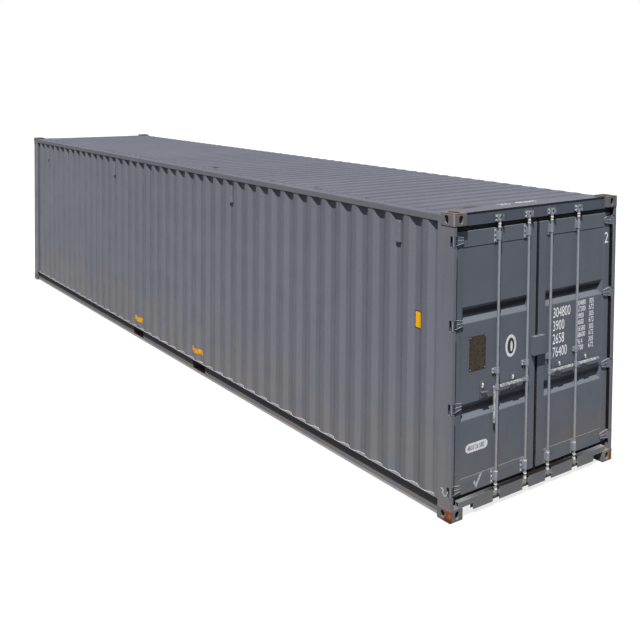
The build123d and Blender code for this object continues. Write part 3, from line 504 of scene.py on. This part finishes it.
def roundedCopy(nodeName, radius):
    mesh = frame["nodes"][nodeName].data.copy()
    shape = bmesh.new()
    shape.from_mesh(mesh)
    bmesh.ops.remove_doubles(shape, verts=shape.verts, dist=cleaning["weld"])
    bmesh.ops.dissolve_limit(shape, angle_limit=cleaning["flat"], verts=shape.verts, edges=shape.edges)
    first, *others = nodeName.split("_")
    reshape = cleaning["reshaped"].get(others[-1])
    if reshape:
        for vert in shape.verts:
            reshape(vert, overall["halfWidth"] - abs(vert.co.y))
    shape.to_mesh(mesh)
    shape.free()
    copy = linked(first + "".join(word.title() for word in others), mesh)
    softened(copy, radius, 2)
    standIn(evened(settled(copy), 60), nodeName)


for name, (finish, radius) in nodeLooks.items():
    if radius:
        roundedCopy(name, radius)
print("edges rounded")


def thickened(name, points, faces, thickness, bend=None):  # a sheet from its outer surface
    mesh = bpy.data.meshes.new(name)
    mesh.from_pydata(points, [], faces)
    piece = linked(name, mesh)
    if bend:
        softened(piece, bend, 3, 15)
    solid = piece.modifiers.new("sheet", "SOLIDIFY")
    solid.thickness = thickness
    solid.offset = -1
    return evened(settled(piece))


# the folded side sheets, with their bends rounded
wall = {"start": 0.222, "pitch": 0.278, "crest": 0.072, "slope": 0.068, "low": 0.046, "high": 0.010,
        "foot": 0.178, "top": 2.806, "bend": 0.009, "bendSteps": 4}


def wallLine():  # (depth, inset) along the outer face of a side sheet
    run = 2 * overall["halfLength"] - 2 * wall["start"]
    base = wall["crest"] + 2 * wall["slope"]
    count = int((run - base) // wall["pitch"]) + 1
    flat = (run - (count - 1) * wall["pitch"] - base) / 2
    corners = [(0, wall["low"])]
    for step in range(count):
        foot = flat + step * wall["pitch"]
        corners += [(foot, wall["low"]), (foot + wall["slope"], wall["high"]),
                    (foot + wall["slope"] + wall["crest"], wall["high"]), (foot + base, wall["low"])]
    corners.append((run, wall["low"]))
    corners = [Vector((wall["start"] + depth, inset)) for depth, inset in corners]
    line = [corners[0]]
    for before, corner, after in zip(corners, corners[1:], corners[2:]):
        begin = corner + (before - corner).normalized() * wall["bend"]
        end = corner + (after - corner).normalized() * wall["bend"]
        for step in range(wall["bendSteps"] + 1):
            part = step / wall["bendSteps"]
            line.append(begin * (1 - part) ** 2 + corner * (2 * part * (1 - part)) + end * part ** 2)
    return line + [corners[-1]]


def upright(line, side, low, high, lift=0.0):  # points and faces of a plan line drawn upwards
    points = []
    for depth, inset in line:
        points += [(endX(depth), sideY(side, inset - lift), z) for z in (low, high)]
    faces = []
    for step in range(0, len(points) - 2, 2):
        face = (step, step + 1, step + 3, step + 2)
        faces.append(face if side == "left" else face[::-1])
    return points, faces


wallPoints, wallFaces = [], []
for side in sides:
    points, faces = upright(wallLine(), side, wall["foot"], wall["top"])
    wallFaces += [tuple(len(wallPoints) + corner for corner in face) for face in faces]
    wallPoints += points
standIn(thickened("sideWalls", wallPoints, wallFaces, overall["sheet"]), "side_walls")
print("side walls folded")

# the roof sheet with pressed cross waves that end short of its sides
roof = {"doorEnd": 0.076, "frontEnd": 0.005, "side": 0.015, "z": 2.868, "pitch": 0.209, "base": 0.118, "rise": 0.018,
        "slope": 0.016, "endFlat": 0.33, "sideFlat": 0.075, "castingLength": 0.178, "castingWidth": 0.162,
        "slopeSteps": 4, "slack": 0.0001}


def slopeMarks(start, end):
    return [start + (end - start) * step / roof["slopeSteps"] for step in range(roof["slopeSteps"] + 1)]


def easedRise(value, end):
    part = min(max(value / end, 0), 1)
    return part * part * (3 - 2 * part)


def roofSheet():
    half, edge = overall["halfLength"], overall["halfWidth"] - roof["side"]
    count = int((2 * half - 2 * roof["endFlat"]) // roof["pitch"])
    waves = [(step - (count - 1) / 2) * roof["pitch"] for step in range(count)]
    footX, topX = roof["base"] / 2, roof["base"] / 2 - roof["slope"]
    footY, topY = edge - roof["sideFlat"], edge - roof["sideFlat"] - roof["slope"]
    xs = [-half + roof["frontEnd"], -half + roof["castingLength"]]
    for middle in waves:
        xs += slopeMarks(middle - footX, middle - topX) + slopeMarks(middle + topX, middle + footX)
    xs += [half - roof["castingLength"], half - roof["doorEnd"]]
    cut = overall["halfWidth"] - roof["castingWidth"]
    halfYs = sorted([*slopeMarks(topY, footY), edge, cut])
    ys = [-y for y in reversed(halfYs)] + [0] + halfYs
    points = []
    for x in xs:
        offset = min(abs(x - middle) for middle in waves)
        across = easedRise(footX - offset, footX - topX)
        for y in ys:
            points.append((x, y, roof["z"] + roof["rise"] * across * easedRise(footY - abs(y), footY - topY)))
    faces = []
    rows = len(ys)
    for i in range(len(xs) - 1):
        for j in range(rows - 1):
            overCasting = i in (0, len(xs) - 2) and min(abs(ys[j]), abs(ys[j + 1])) >= cut - roof["slack"]
            if not overCasting:
                faces.append((i * rows + j, (i + 1) * rows + j, (i + 1) * rows + j + 1, i * rows + j + 1))
    return points, faces


sheet = thickened("roof", *roofSheet(), overall["sheet"])
shape = bmesh.new()
shape.from_mesh(sheet.data)
bmesh.ops.delete(shape, geom=[vert for vert in shape.verts if not vert.link_faces], context="VERTS")
shape.to_mesh(sheet.data)
shape.free()
standIn(evened(sheet), "roof")
print("roof pressed")

# the door sheets with two pressed grooves each
panel = {"innerStile": 0.157, "outerStile": 1.1, "foot": 0.358, "top": 2.563, "grooves": (0.99006, 1.91494),
         "grooveHeight": 0.155, "grooveMargin": 0.010, "deep": 0.036, "slope": 0.0478, "endSlope": 0.016, "bend": 0.006}


def doorSheet(side):
    near, far = panel["innerStile"], panel["outerStile"]
    start, end = near + panel["grooveMargin"], far - panel["grooveMargin"]
    insets = (near, start, end, far)
    grooveEdges = [z + way * panel["grooveHeight"] / 2 for z in panel["grooves"] for way in (-1, 1)]
    heights = (panel["foot"], *grooveEdges, panel["top"])
    points = [(endX(doorDepths["panel"]), sideY(side, inset), z) for z in heights for inset in insets]
    faces = []
    for row in range(len(heights) - 1):
        for column in range(len(insets) - 1):
            corner = row * 4 + column
            ring = (corner, corner + 1, corner + 5, corner + 4)
            if column != 1 or row not in (1, 3):
                faces.append(ring)
                continue
            first = len(points)
            deep = endX(doorDepths["panel"] + panel["deep"])
            for z, ends in ((heights[row] + panel["slope"], (start + panel["slope"], end - panel["endSlope"])),
                            (heights[row + 1] - panel["slope"], (end - panel["endSlope"], start + panel["slope"]))):
                points += [(deep, sideY(side, inset), z) for inset in ends]
            for step in range(4):
                after = (step + 1) % 4
                faces.append((ring[step], ring[after], first + after, first + step))
            faces.append((first, first + 1, first + 2, first + 3))
    return points, faces if side == "left" else [face[::-1] for face in faces]


for side in sides:
    standIn(thickened(f"{side}DoorPanel", *doorSheet(side), overall["sheet"], panel["bend"]), f"{side}_door_panel")
print("door sheets pressed")


def geometryTree(name, inputs):
    return nodeGroup(name, "GeometryNodeTree", {
        "Geometry": ("Geometry", None), **inputs, "Finish": ("Material", None)}, {"Geometry": "Geometry"})


def finished(geometry, finish, result):
    tree = treeOf(geometry)
    real = addNode(tree, "GeometryNodeRealizeInstances", {"Geometry": geometry})
    done = addNode(tree, "GeometryNodeSetMaterial", {"Geometry": real.outputs[0], "Material": finish})
    tree.links.new(done.outputs[0], result[0])


def makeHeadTree():  # one round or six sided head on every point, facing as the point says
    tree, given, result, names = geometryTree("heads", {
        "Radius": ("Float", 0.01), "Height": ("Float", 0.008), "Washer": ("Float", 1.5), "Sides": ("Int", 6)})
    head = addNode(tree, "GeometryNodeMeshCylinder", {
        "Vertices": given["Sides"], "Radius": given["Radius"], "Depth": given["Height"]})
    lift = addNode(tree, "ShaderNodeCombineXYZ", {2: times(given["Height"], 0.5)})
    raised = addNode(tree, "GeometryNodeTransform", {
        "Geometry": head.outputs["Mesh"], "Translation": lift.outputs[0]})
    disc = addNode(tree, "GeometryNodeMeshCylinder", {
        "Vertices": 16, "Radius": times(given["Radius"], given["Washer"]),
        "Depth": times(given["Height"], 0.3)})
    both = addNode(tree, "GeometryNodeJoinGeometry")
    for part in (disc.outputs["Mesh"], raised.outputs[0]):
        tree.links.new(part, both.inputs[0])
    way = addNode(tree, "GeometryNodeInputNamedAttribute", {"Name": "facing"}, data_type="FLOAT_VECTOR")
    turned = addNode(tree, "FunctionNodeAlignRotationToVector", {"Vector": way.outputs[0]}, axis="Z")
    placed = addNode(tree, "GeometryNodeInstanceOnPoints", {
        "Points": given["Geometry"], "Instance": both.outputs[0], "Rotation": turned.outputs[0]})
    finished(placed.outputs[0], given["Finish"], result)
    return tree, names


def makeBeadTree():  # round bead along a path of edges
    tree, given, result, names = geometryTree("bead", {"Radius": ("Float", 0.003), "Sides": ("Int", 6)})
    path = addNode(tree, "GeometryNodeMeshToCurve", {"Mesh": given["Geometry"]})
    ring = addNode(tree, "GeometryNodeCurvePrimitiveCircle", {
        "Resolution": given["Sides"], "Radius": given["Radius"]})
    swept = addNode(tree, "GeometryNodeCurveToMesh", {
        "Curve": path.outputs[0], "Profile Curve": ring.outputs[0], "Fill Caps": True})
    finished(swept.outputs[0], given["Finish"], result)
    return tree, names


heads, bead = makeHeadTree(), makeBeadTree()


def grown(name, kind, mesh, sizes, finish, body, slotName):
    piece = linked(name, mesh)
    modifier = piece.modifiers.new("grow", "NODES")
    modifier.node_group, names = kind
    for label, value in zip(("Radius", "Height", "Washer", "Sides"), sizes):
        modifier[names[label]] = value
    modifier[names["Finish"]] = bpy.data.materials[finish]
    carried(settled(piece), body, slotName)


# sizes are (radius, height, washer) and the number of sides where it isn't six
def headField(name, places, ways, sizes, finish, body, slotName):
    mesh = bpy.data.meshes.new(name)
    mesh.from_pydata(places, [], [])
    attribute = mesh.attributes.new("facing", "FLOAT_VECTOR", "POINT")
    for point, way in zip(attribute.data, ways):
        point.vector = way
    grown(name, heads, mesh, sizes, finish, body, slotName)


def beads(name, paths, radius, finish, body, slotName):
    points, edges = [], []
    for path in paths:
        start = len(points)
        points += path
        edges += [(start + step, start + step + 1) for step in range(len(path) - 1)]
    mesh = bpy.data.meshes.new(name)
    mesh.from_pydata(points, edges, [])
    grown(name, bead, mesh, (radius,), finish, body, slotName)


doorBolts = {"sizes": (0.0095, 0.006, 1.15), "column": 0.0375, "heights": [
    centre + step for centre in (0.283, 2.638) for step in (0.048, 0.0, -0.048)] + [1.334, 1.306]}
outwards = (1, 0, 0)
for side in sides:
    places = [(endX(doorDepths["bearing"]), sideY(side, inset - doorBolts["column"]), z)
              for inset in rodInsets.values() for z in doorBolts["heights"]]
    headField(f"{side}DoorBolts", places, [outwards] * len(places), doorBolts["sizes"], "boltSteel",
              f"{side}_door", "locking_gear")
    print(f"{side} door bolts", len(places))

keeperBolts = {"sizes": (0.007, 0.006, 1.3), "lug": 0.046, "depth": 0.022, "heights": (-0.018, 0.018),
               "levels": (0.109, 2.808)}
places, ways = [], []
for side in sides:
    for inset in rodInsets.values():
        for way in (-1, 1):
            y = sideY(side, inset) + way * keeperBolts["lug"]
            places += [(endX(keeperBolts["depth"]), y, level + rise)
                       for level in keeperBolts["levels"] for rise in keeperBolts["heights"]]
            ways += [(0, way, 0)] * (len(places) - len(ways))
headField("keeperBolts", places, ways, keeperBolts["sizes"], "brightSteel", "container_frame", "locking_gear")

dataPlate = {"left": 0.27, "width": 0.22, "low": 1.37, "height": 0.33, "face": 0.048, "margin": 0.012,
             "rivet": (0.004, 0.003, 1.0, 12)}
rivets = [(endX(dataPlate["face"]), sideY("left", dataPlate["left"] + across), dataPlate["low"] + up)
          for across in (dataPlate["margin"], dataPlate["width"] - dataPlate["margin"])
          for up in (dataPlate["margin"], dataPlate["height"] - dataPlate["margin"])]
headField("plateRivets", rivets, [outwards] * len(rivets), dataPlate["rivet"], "boltSteel", "left_door", "data_plate")

caulk = {"lift": 0.0005, "radius": 0.0035}
beads("wallCaulk", [[(endX(depth), sideY(side, inset - caulk["lift"]), wall["foot"] + caulk["lift"])
                     for depth, inset in wallLine()] for side in sides], caulk["radius"], "caulkPaint", *onFrame)

# a light line on the step under each door sheet, dust and a painted highlight, and a dark line of painted shade above
# it
panelEdges = {"radius": 0.003, "inside": 0.02}
for side in sides:
    ends = [sideY(side, inset) for inset in (panel["innerStile"] + panelEdges["inside"],
                                             panel["outerStile"] - panelEdges["inside"])]
    for name, z, finish in (("LowLine", panel["foot"], "dustLine"), ("TopLine", panel["top"], "shadeLine")):
        beads(f"{side}Door{name}", [[(endX(doorDepths["panel"]), y, z) for y in ends]], panelEdges["radius"],
              finish, f"{side}_door", "door_paint")
    # light ribs on the hinge leaves: their light colour is a painted highlight
    ribs = [[(endX(hinge["face"]), sideY(side, inset), middle + part * (leafHalf(inset) - hinge["rib"]))
             for inset in (hinge["start"], hinge["end"] - hinge["rib"])]
            for middle in hinge["heights"] for part in (-1, 0, 1)]
    beads(f"{side}LeafRibs", ribs, hinge["rib"], "ribPaint", f"{side}_door", "door_paint")
print("bolts and beads made")


def meshPiece(name, shape, finishes, body, slotName):
    bmesh.ops.recalc_face_normals(shape, faces=shape.faces)
    mesh = bpy.data.meshes.new(name)
    shape.to_mesh(mesh)
    shape.free()
    for finish in finishes:
        mesh.materials.append(bpy.data.materials[finish])
    carried(linked(name, mesh), body, slotName)


def flatPiece(name, outlines, axis, start, thickness, finish, body, slotName):  # thin solids in one plane
    place = {"x": lambda a, b, c: (c, a, b), "y": lambda a, b, c: (a, c, b)}[axis]
    shape = bmesh.new()
    for outline in outlines:
        face = shape.faces.new([shape.verts.new(place(a, b, start)) for a, b in outline])
        raised = bmesh.ops.extrude_face_region(shape, geom=[face])
        moved = [item for item in raised["geom"] if isinstance(item, bmesh.types.BMVert)]
        bmesh.ops.translate(shape, verts=moved, vec=place(0, 0, thickness))
    meshPiece(name, shape, [finish], body, slotName)


def oblong(a, b, c, d):  # corners from two limits on each axis
    return [(a, c), (b, c), (b, d), (a, d)]


def circle(count):
    turns = [math.tau * step / count for step in range(count)]
    return [(math.cos(turn), math.sin(turn)) for turn in turns]


def ovalOutline(y, z, halfAcross, halfUp, count=48):
    return [(y + halfAcross * a, z + halfUp * b) for a, b in circle(count)]


def pillOutline(y, z, halfAcross, halfUp, count=16):
    points = []
    for way, start in ((1, -0.25), (-1, 0.25)):
        for step in range(count + 1):
            turn = math.tau * (start + 0.5 * step / count)
            points.append((y + way * (halfAcross - halfUp) + halfUp * math.cos(turn), z + halfUp * math.sin(turn)))
    return points


# rings and sleeves on the rods: (bottom, height, radius, finish)
rodTrim = {
    "inner": 0.0134, "sides": 24, "rings": (
        (2.7105, 0.010, 0.0172, "rodSteel"), (2.596, 0.008, 0.0165, "rodSteel"),
        (0.2005, 0.010, 0.0172, "brightSteel"), (0.3285, 0.010, 0.0172, "brightSteel"),
        (1.347, 0.012, 0.0172, "rodSteel"), (2.7215, 0.012, 0.0158, "brightSteel"),
        (2.7335, 0.012, 0.0150, "ringTan"), (2.7455, 0.014, 0.0158, "brightSteel"),
        (0.150, 0.022, 0.0155, "brightSteel"))}
# near-black discs on the cams' fronts: painted shade standing for their holes
camHoleShade = {"z": 2.815, "half": 0.010, "depth": 0.010, "thick": 0.0052, "sides": 16}


def ringPiece(name, x, y, rings, inner, count, body, slotName):
    shape = bmesh.new()
    finishes = list(dict.fromkeys(ring[3] for ring in rings))
    for z, height, outer, finish in rings:
        loops = []
        for radius, rise in ((inner, 0), (outer, 0), (outer, height), (inner, height)):
            loops.append([shape.verts.new((x + radius * a, y + radius * b, z + rise)) for a, b in circle(count)])
        for first, second in zip(loops, loops[1:] + loops[:1]):
            for step in range(count):
                after = (step + 1) % count
                face = shape.faces.new((first[step], first[after], second[after], second[step]))
                face.material_index = finishes.index(finish)
    meshPiece(name, shape, finishes, body, slotName)


for side in sides:
    for rod, inset in rodInsets.items():
        name, gear = side + rod.title(), (f"{side}_{rod}_rod", "locking_gear")
        ringPiece(name + "Collars", endX(doorDepths["rods"]), sideY(side, inset), rodTrim["rings"],
                  rodTrim["inner"], rodTrim["sides"], *gear)
        spot = ovalOutline(sideY(side, inset), camHoleShade["z"], camHoleShade["half"], camHoleShade["half"], camHoleShade["sides"])
        flatPiece(name + "CamHole", [spot], "x", endX(camHoleShade["depth"]), camHoleShade["thick"], "labelDark", *gear)
print("collars made")

# black rubber marks on the posts, between the hinges
jamb = {"face": 0.0425, "near": 0.020, "far": 0.062, "hingeHalf": 0.055, "foot": 0.182, "top": 2.754}
levels = [middle + way * jamb["hingeHalf"] for middle in hinge["heights"] for way in (-1, 1)]
levels = [jamb["foot"], *levels, jamb["top"]]
spans = [oblong(endX(jamb["far"]), endX(jamb["near"]), low, high) for low, high in zip(levels[::2], levels[1::2])]
for side in sides:
    flatPiece(f"{side}JambMarks", spans, "y", sideY(side, jamb["face"]), sides[side] * overall["veil"], "sealRubber",
              "container_frame", "door_seals")

# rubber lips on the meeting edges of the doors
lip = {"edge": 1.200, "near": 0.0495, "far": 0.060, "low": 0.212, "high": 2.709}
for side in sides:
    flatPiece(f"{side}SealLip", [oblong(endX(lip["far"]), endX(lip["near"]), lip["low"], lip["high"])], "y",
              sideY(side, lip["edge"]), -sides[side] * overall["veil"], "sealRubber", f"{side}_door", "door_seals")

# a dark strip along the header's upper edge: painted shade for the shaded gutter behind its lip
headerEdge = {"inset": 0.170, "low": 2.868, "high": 2.8895, "face": 0.0438}
span = oblong(*(sideY(side, headerEdge["inset"]) for side in sides), headerEdge["low"], headerEdge["high"])
flatPiece("headerEdge", [span], "x", endX(headerEdge["face"]) - overall["veil"], overall["veil"] * 2, "labelDark",
          *onFrame)

# the sill's bays lie in shade behind the keepers
bay = {"half": 0.044, "low": 0.0525, "high": 0.1675, "face": 0.0436}
spans = [oblong(sideY(side, inset) - bay["half"], sideY(side, inset) + bay["half"], bay["low"], bay["high"])
         for side in sides for inset in rodInsets.values()]
flatPiece("bayShades", spans, "x", endX(bay["face"]) - overall["veil"], overall["veil"], "shadeLine", *onFrame)

# hinge knuckles let into the posts' side faces: a light strip with a painted highlight beside a dark sheet of painted
# shade in the slot
knuckle = {"half": 0.046, "face": 0.005, "parts": (
    ("KnuckleStrips", 0.005, 0.017, 0.002, "ribPaint"), ("KnuckleSlots", 0.019, 0.031, overall["veil"], "labelDark"))}
for side in sides:
    for name, near, far, thick, finish in knuckle["parts"]:
        spans = [oblong(endX(far), endX(near), middle - knuckle["half"], middle + knuckle["half"])
                 for middle in hinge["heights"]]
        flatPiece(side + name, spans, "y", sideY(side, knuckle["face"]), sides[side] * thick, finish, *onFrame)

# hook plates that stand behind the handles, on their retainers
hook = {"fromRod": 0.184, "thick": 0.012, "sunk": 0.0005, "foot": 1.146, "outline": (
    (-0.006, 0.044), (0.006, 0.044), (0.006, 0.056), (0.014, 0.068), (0.012, 0.082), (0.002, 0.086),
    (-0.006, 0.074), (-0.004, 0.056))}
for side in sides:
    outlines = [[(sideY(side, inset - hook["fromRod"]) + across * -sides[side], hook["foot"] + up)
                 for across, up in hook["outline"]] for inset in rodInsets.values()]
    flatPiece(f"{side}HookPlates", outlines, "x", endX(doorDepths["bearing"]) - hook["sunk"], hook["thick"],
              "brightSteel", f"{side}_door", "locking_gear")

# strip on the left half of the lock box that shuts the slit between the halves
boxStrip = {"left": 1.214, "past": 0.0035, "low": 1.3755, "high": 1.5645, "near": 0.003, "thick": 0.004}
span = oblong(sideY("left", boxStrip["left"]), boxStrip["past"], boxStrip["low"], boxStrip["high"])
flatPiece("lockBoxStrip", [span], "x", endX(boxStrip["near"]) - boxStrip["thick"], boxStrip["thick"], "doorPaint",
          *onLeftDoor)
print("thin trim made")

stickerThick, aboveSticker = 0.0005, 0.0006
for name, outline, layer, finish in (
        ("roundSticker", ovalOutline(-0.374, 1.52, 0.077, 0.111), 0, "stickerWhite"),
        ("roundStickerMiddle", ovalOutline(-0.374, 1.52, 0.050, 0.080), 1, "stickerGrey"),
        ("roundStickerMark", ovalOutline(-0.366, 1.515, 0.016, 0.052), 2, "stickerWhite"),
        ("longSticker", pillOutline(-0.832, 0.628, 0.150, 0.044), 0, "stickerWhite")):
    flatPiece(name, [outline], "x", endX(doorDepths["panel"]) + layer * stickerThick, stickerThick, finish,
              *onLeftDoor)


def wallPoint(depth):  # where the wall's line passes this depth
    line = wallLine()
    first, second = next(pair for pair in zip(line, line[1:]) if pair[0].x <= depth < pair[1].x)
    return first.lerp(second, (depth - first.x) / (second.x - first.x))


def wallSticker(name, near, far, low, high, lift, finish):  # follows the folds of the left side sheet
    line = [wallPoint(near), *(point for point in wallLine() if near < point.x < far), wallPoint(far)]
    piece = thickened(name, *upright(line, "left", low, high, lift), stickerThick)
    piece.data.materials.append(bpy.data.materials[finish])
    carried(piece, *onFrame)


for name, near, far, low, high, lift, finish in (
        ("heightSticker", 0.452, 0.568, 1.71, 1.885, 0.0008, "labelDark"),
        ("heightStickerField", 0.460, 0.560, 1.72, 1.875, 0.0014, "labelYellow"),
        ("forkSticker0", 4.94, 5.26, 0.28, 0.348, 0.0008, "labelOrange"),
        ("forkSticker1", 6.945, 7.235, 0.28, 0.348, 0.0008, "labelOrange")):
    wallSticker(name, near, far, low, high, lift, finish)
print("stickers made")


def textPiece(name, words, size, matrix, finish, body, slotName, stretch):
    curve = bpy.data.curves.new(name, "FONT")
    curve.body = words
    curve.size = size
    curve.extrude = stickerThick / 2
    curve.resolution_u = 3
    source = linked(name + "Source", curve)
    mesh = evaluatedMesh(source)
    bpy.data.objects.remove(source)
    mesh.transform(matrix @ Matrix.Diagonal((stretch, 1, 1, 1)))
    mesh.materials.clear()
    mesh.materials.append(bpy.data.materials[finish])
    carried(linked(name, mesh), body, slotName)


def doorPlace(y, z, depth=doorDepths["panel"]):  # where text stands on the doors, to read from outside
    turn = Matrix(((0, 0, 1), (1, 0, 0), (0, 1, 0))).to_4x4()
    return Matrix.Translation((endX(depth) + stickerThick / 2, y, z)) @ turn


def roofPlace(x, y):  # where text lies on the roof, to read from the door end
    turn = Matrix(((0, -1, 0), (1, 0, 0), (0, 0, 1))).to_4x4()
    return Matrix.Translation((x, y, roof["z"] + stickerThick)) @ turn


weights = {"left": 0.252, "top": 1.694, "step": 0.1367, "size": 0.15, "stretch": 0.62,
           "big": ("304800", "3900", "2658", "76400"),
           "smallSize": 0.078, "smallStretch": 0.72, "line": 0.066, "rise": 0.070, "middle": 0.640,
           "columns": (("30480", "67200"), ("3900", "8600"), ("26580", "58600"), ("76.4", "2700")),
           "last": 0.835, "lastColumn": ("305", "672")}
for row, words in enumerate(weights["big"]):
    z = weights["top"] - row * weights["step"]
    textPiece(f"weightBig{row}", words, weights["size"], doorPlace(weights["left"], z), "markPaint",
              *onRightDoor, weights["stretch"])
    for line in (0, 1):
        rise = z + weights["rise"] - line * weights["line"]
        for name, y, lines in (("Small", weights["middle"], weights["columns"][row]),
                               ("Last", weights["last"], weights["lastColumn"])):
            textPiece(f"weight{name}{row}{line}", lines[line], weights["smallSize"], doorPlace(y, rise), "markPaint",
                      *onRightDoor, weights["smallStretch"])
for name, words, size, place, finish, holder, stretch in (
        ("cornerDigit", "2", 0.17, doorPlace(1.075, 2.385, doorDepths["frame"]), "markPaint", onRightDoor, 0.8),
        ("longStickerDigits", "4802 26 580", 0.062, doorPlace(-0.955, 0.607, doorDepths["panel"] - aboveSticker),
         "stickerGrey", onLeftDoor, 0.72),
        ("roofNumbers", "305   482643", 0.105, roofPlace(endX(0.31), -0.26), "roofMark", onFrame, 0.985)):
    textPiece(name, words, size, place, finish, *holder, stretch)

marks = {"tick": ((-0.874, 0.284), (-0.858, 0.306), (-0.836, 0.268), (-0.777, 0.358), (-0.757, 0.350),
                  (-0.832, 0.220)),
         "squiggle": ((0.133, 0.2874), (0.143, 0.2973), (0.113, 0.3039), (0.093, 0.2874), (0.103, 0.261),
                      (0.088, 0.2412), (0.063, 0.2511), (0.043, 0.2973), (0.036, 0.294), (0.056, 0.2412),
                      (0.086, 0.228), (0.118, 0.2544), (0.110, 0.2808), (0.118, 0.29202)), "postFace": 0.005}
flatPiece("chalkTick", [marks["tick"]], "x", endX(doorDepths["frame"]), stickerThick, "chalk", *onLeftDoor)
flatPiece("chalkMark", [[(endX(depth), z) for depth, z in marks["squiggle"]]], "y",
          sideY("left", marks["postFace"]), -stickerThick, "chalk", *onFrame)
print("marks made")

floorHalf = 60
floorMesh = bpy.data.meshes.new("studioFloor")
floorMesh.from_pydata([(x * floorHalf, y * floorHalf, 0) for x, y in ((-1, -1), (1, -1), (1, 1), (-1, 1))],
                      [], [(0, 1, 2, 3)])
linked("studioFloor", floorMesh)

studio = {"floor": (0.72, 0.72, 0.72, 1), "floorInBounces": (0.02, 0.02, 0.02, 1), "floorGlow": 0.78,
          "floorRough": 0.9, "white": (1, 1, 1, 1), "sky": (0.91, 0.95, 1.0, 1), "skyStrength": 0.36,
          "lamp": (1.0, 0.98, 0.96), "lamps": {  # where from, strength and angle
              "sun": ((1.0, -1.3, 3.1), 6.8, 1.0),
              "fill": ((-1.0, 0.9, 0.12), 4.0, 70)}}  # the fill only reaches the far side and the front end


def seenRays(tree):  # rays that see the background: straight, mirrored or through glass
    path = addNode(tree, "ShaderNodeLightPath").outputs
    direct = maths("MAXIMUM", path["Is Camera Ray"], path["Is Glossy Ray"])
    return maths("MAXIMUM", direct, path["Is Transmission Ray"]), path["Is Diffuse Ray"]


def blended(factor, first, second, result):
    blend = addNode(treeOf(factor), "ShaderNodeMixShader", {0: factor, 1: first.outputs[0], 2: second.outputs[0]})
    feed(result.inputs, {0: blend.outputs[0]})


tree, shader = newMaterial("floorFinish")
seen, bounced = seenRays(tree)
feed(shader.inputs, {"Base Color": mixed(bounced, studio["floor"], studio["floorInBounces"])})
shader.inputs["Roughness"].default_value = studio["floorRough"]
glow = addNode(tree, "ShaderNodeEmission", {"Color": studio["white"], "Strength": 1.0})
blended(times(seen, studio["floorGlow"]), shader, glow, tree.nodes["Material Output"])
floorMesh.materials.append(bpy.data.materials["floorFinish"])

world = bpy.context.scene.world = bpy.data.worlds.new("studio")
world.use_nodes = True
tree = world.node_tree
tree.nodes.clear()
seen, bounced = seenRays(tree)
lit = addNode(tree, "ShaderNodeBackground", {"Color": studio["sky"], "Strength": studio["skyStrength"]})
white = addNode(tree, "ShaderNodeBackground", {"Color": studio["white"], "Strength": 1.0})
blended(seen, lit, white, tree.nodes.new("ShaderNodeOutputWorld"))

for name, (source, strength, angle) in studio["lamps"].items():
    lamp = bpy.data.lights.new(name, "SUN")
    lamp.energy = strength
    lamp.angle = math.radians(angle)
    lamp.color = studio["lamp"]
    linked(name, lamp).rotation_euler = Vector(source).to_track_quat("Z", "Y").to_euler()

viewValues = {"place": (11.809, -6.815, 4.109), "azimuth": 36.347, "elevation": -2.272, "roll": 0.498,
              "lens": 48.912, "sensor": 36, "shiftX": -0.02, "shiftY": -0.32, "farthest": 300}
azimuth, elevation, roll = (math.radians(viewValues[part]) for part in ("azimuth", "elevation", "roll"))
forward = Vector((-math.cos(azimuth) * math.cos(elevation), math.sin(azimuth) * math.cos(elevation),
                  math.sin(elevation)))
level = forward.cross(Vector((0, 0, 1))).normalized()
upward = level.cross(forward)
right = math.cos(roll) * level + math.sin(roll) * upward
above = math.cos(roll) * upward - math.sin(roll) * level
lens = bpy.data.cameras.new("camera")
lens.lens = viewValues["lens"]
lens.sensor_width = viewValues["sensor"]
lens.shift_x = viewValues["shiftX"]
lens.shift_y = viewValues["shiftY"]
lens.clip_end = viewValues["farthest"]
camera = linked("camera", lens)
camera.matrix_world = (Matrix.Translation(viewValues["place"])
                       @ Matrix((right, above, -forward)).transposed().to_4x4())
bpy.context.scene.camera = camera
bpy.context.scene.view_settings.view_transform = "Standard"
print("studio ready")
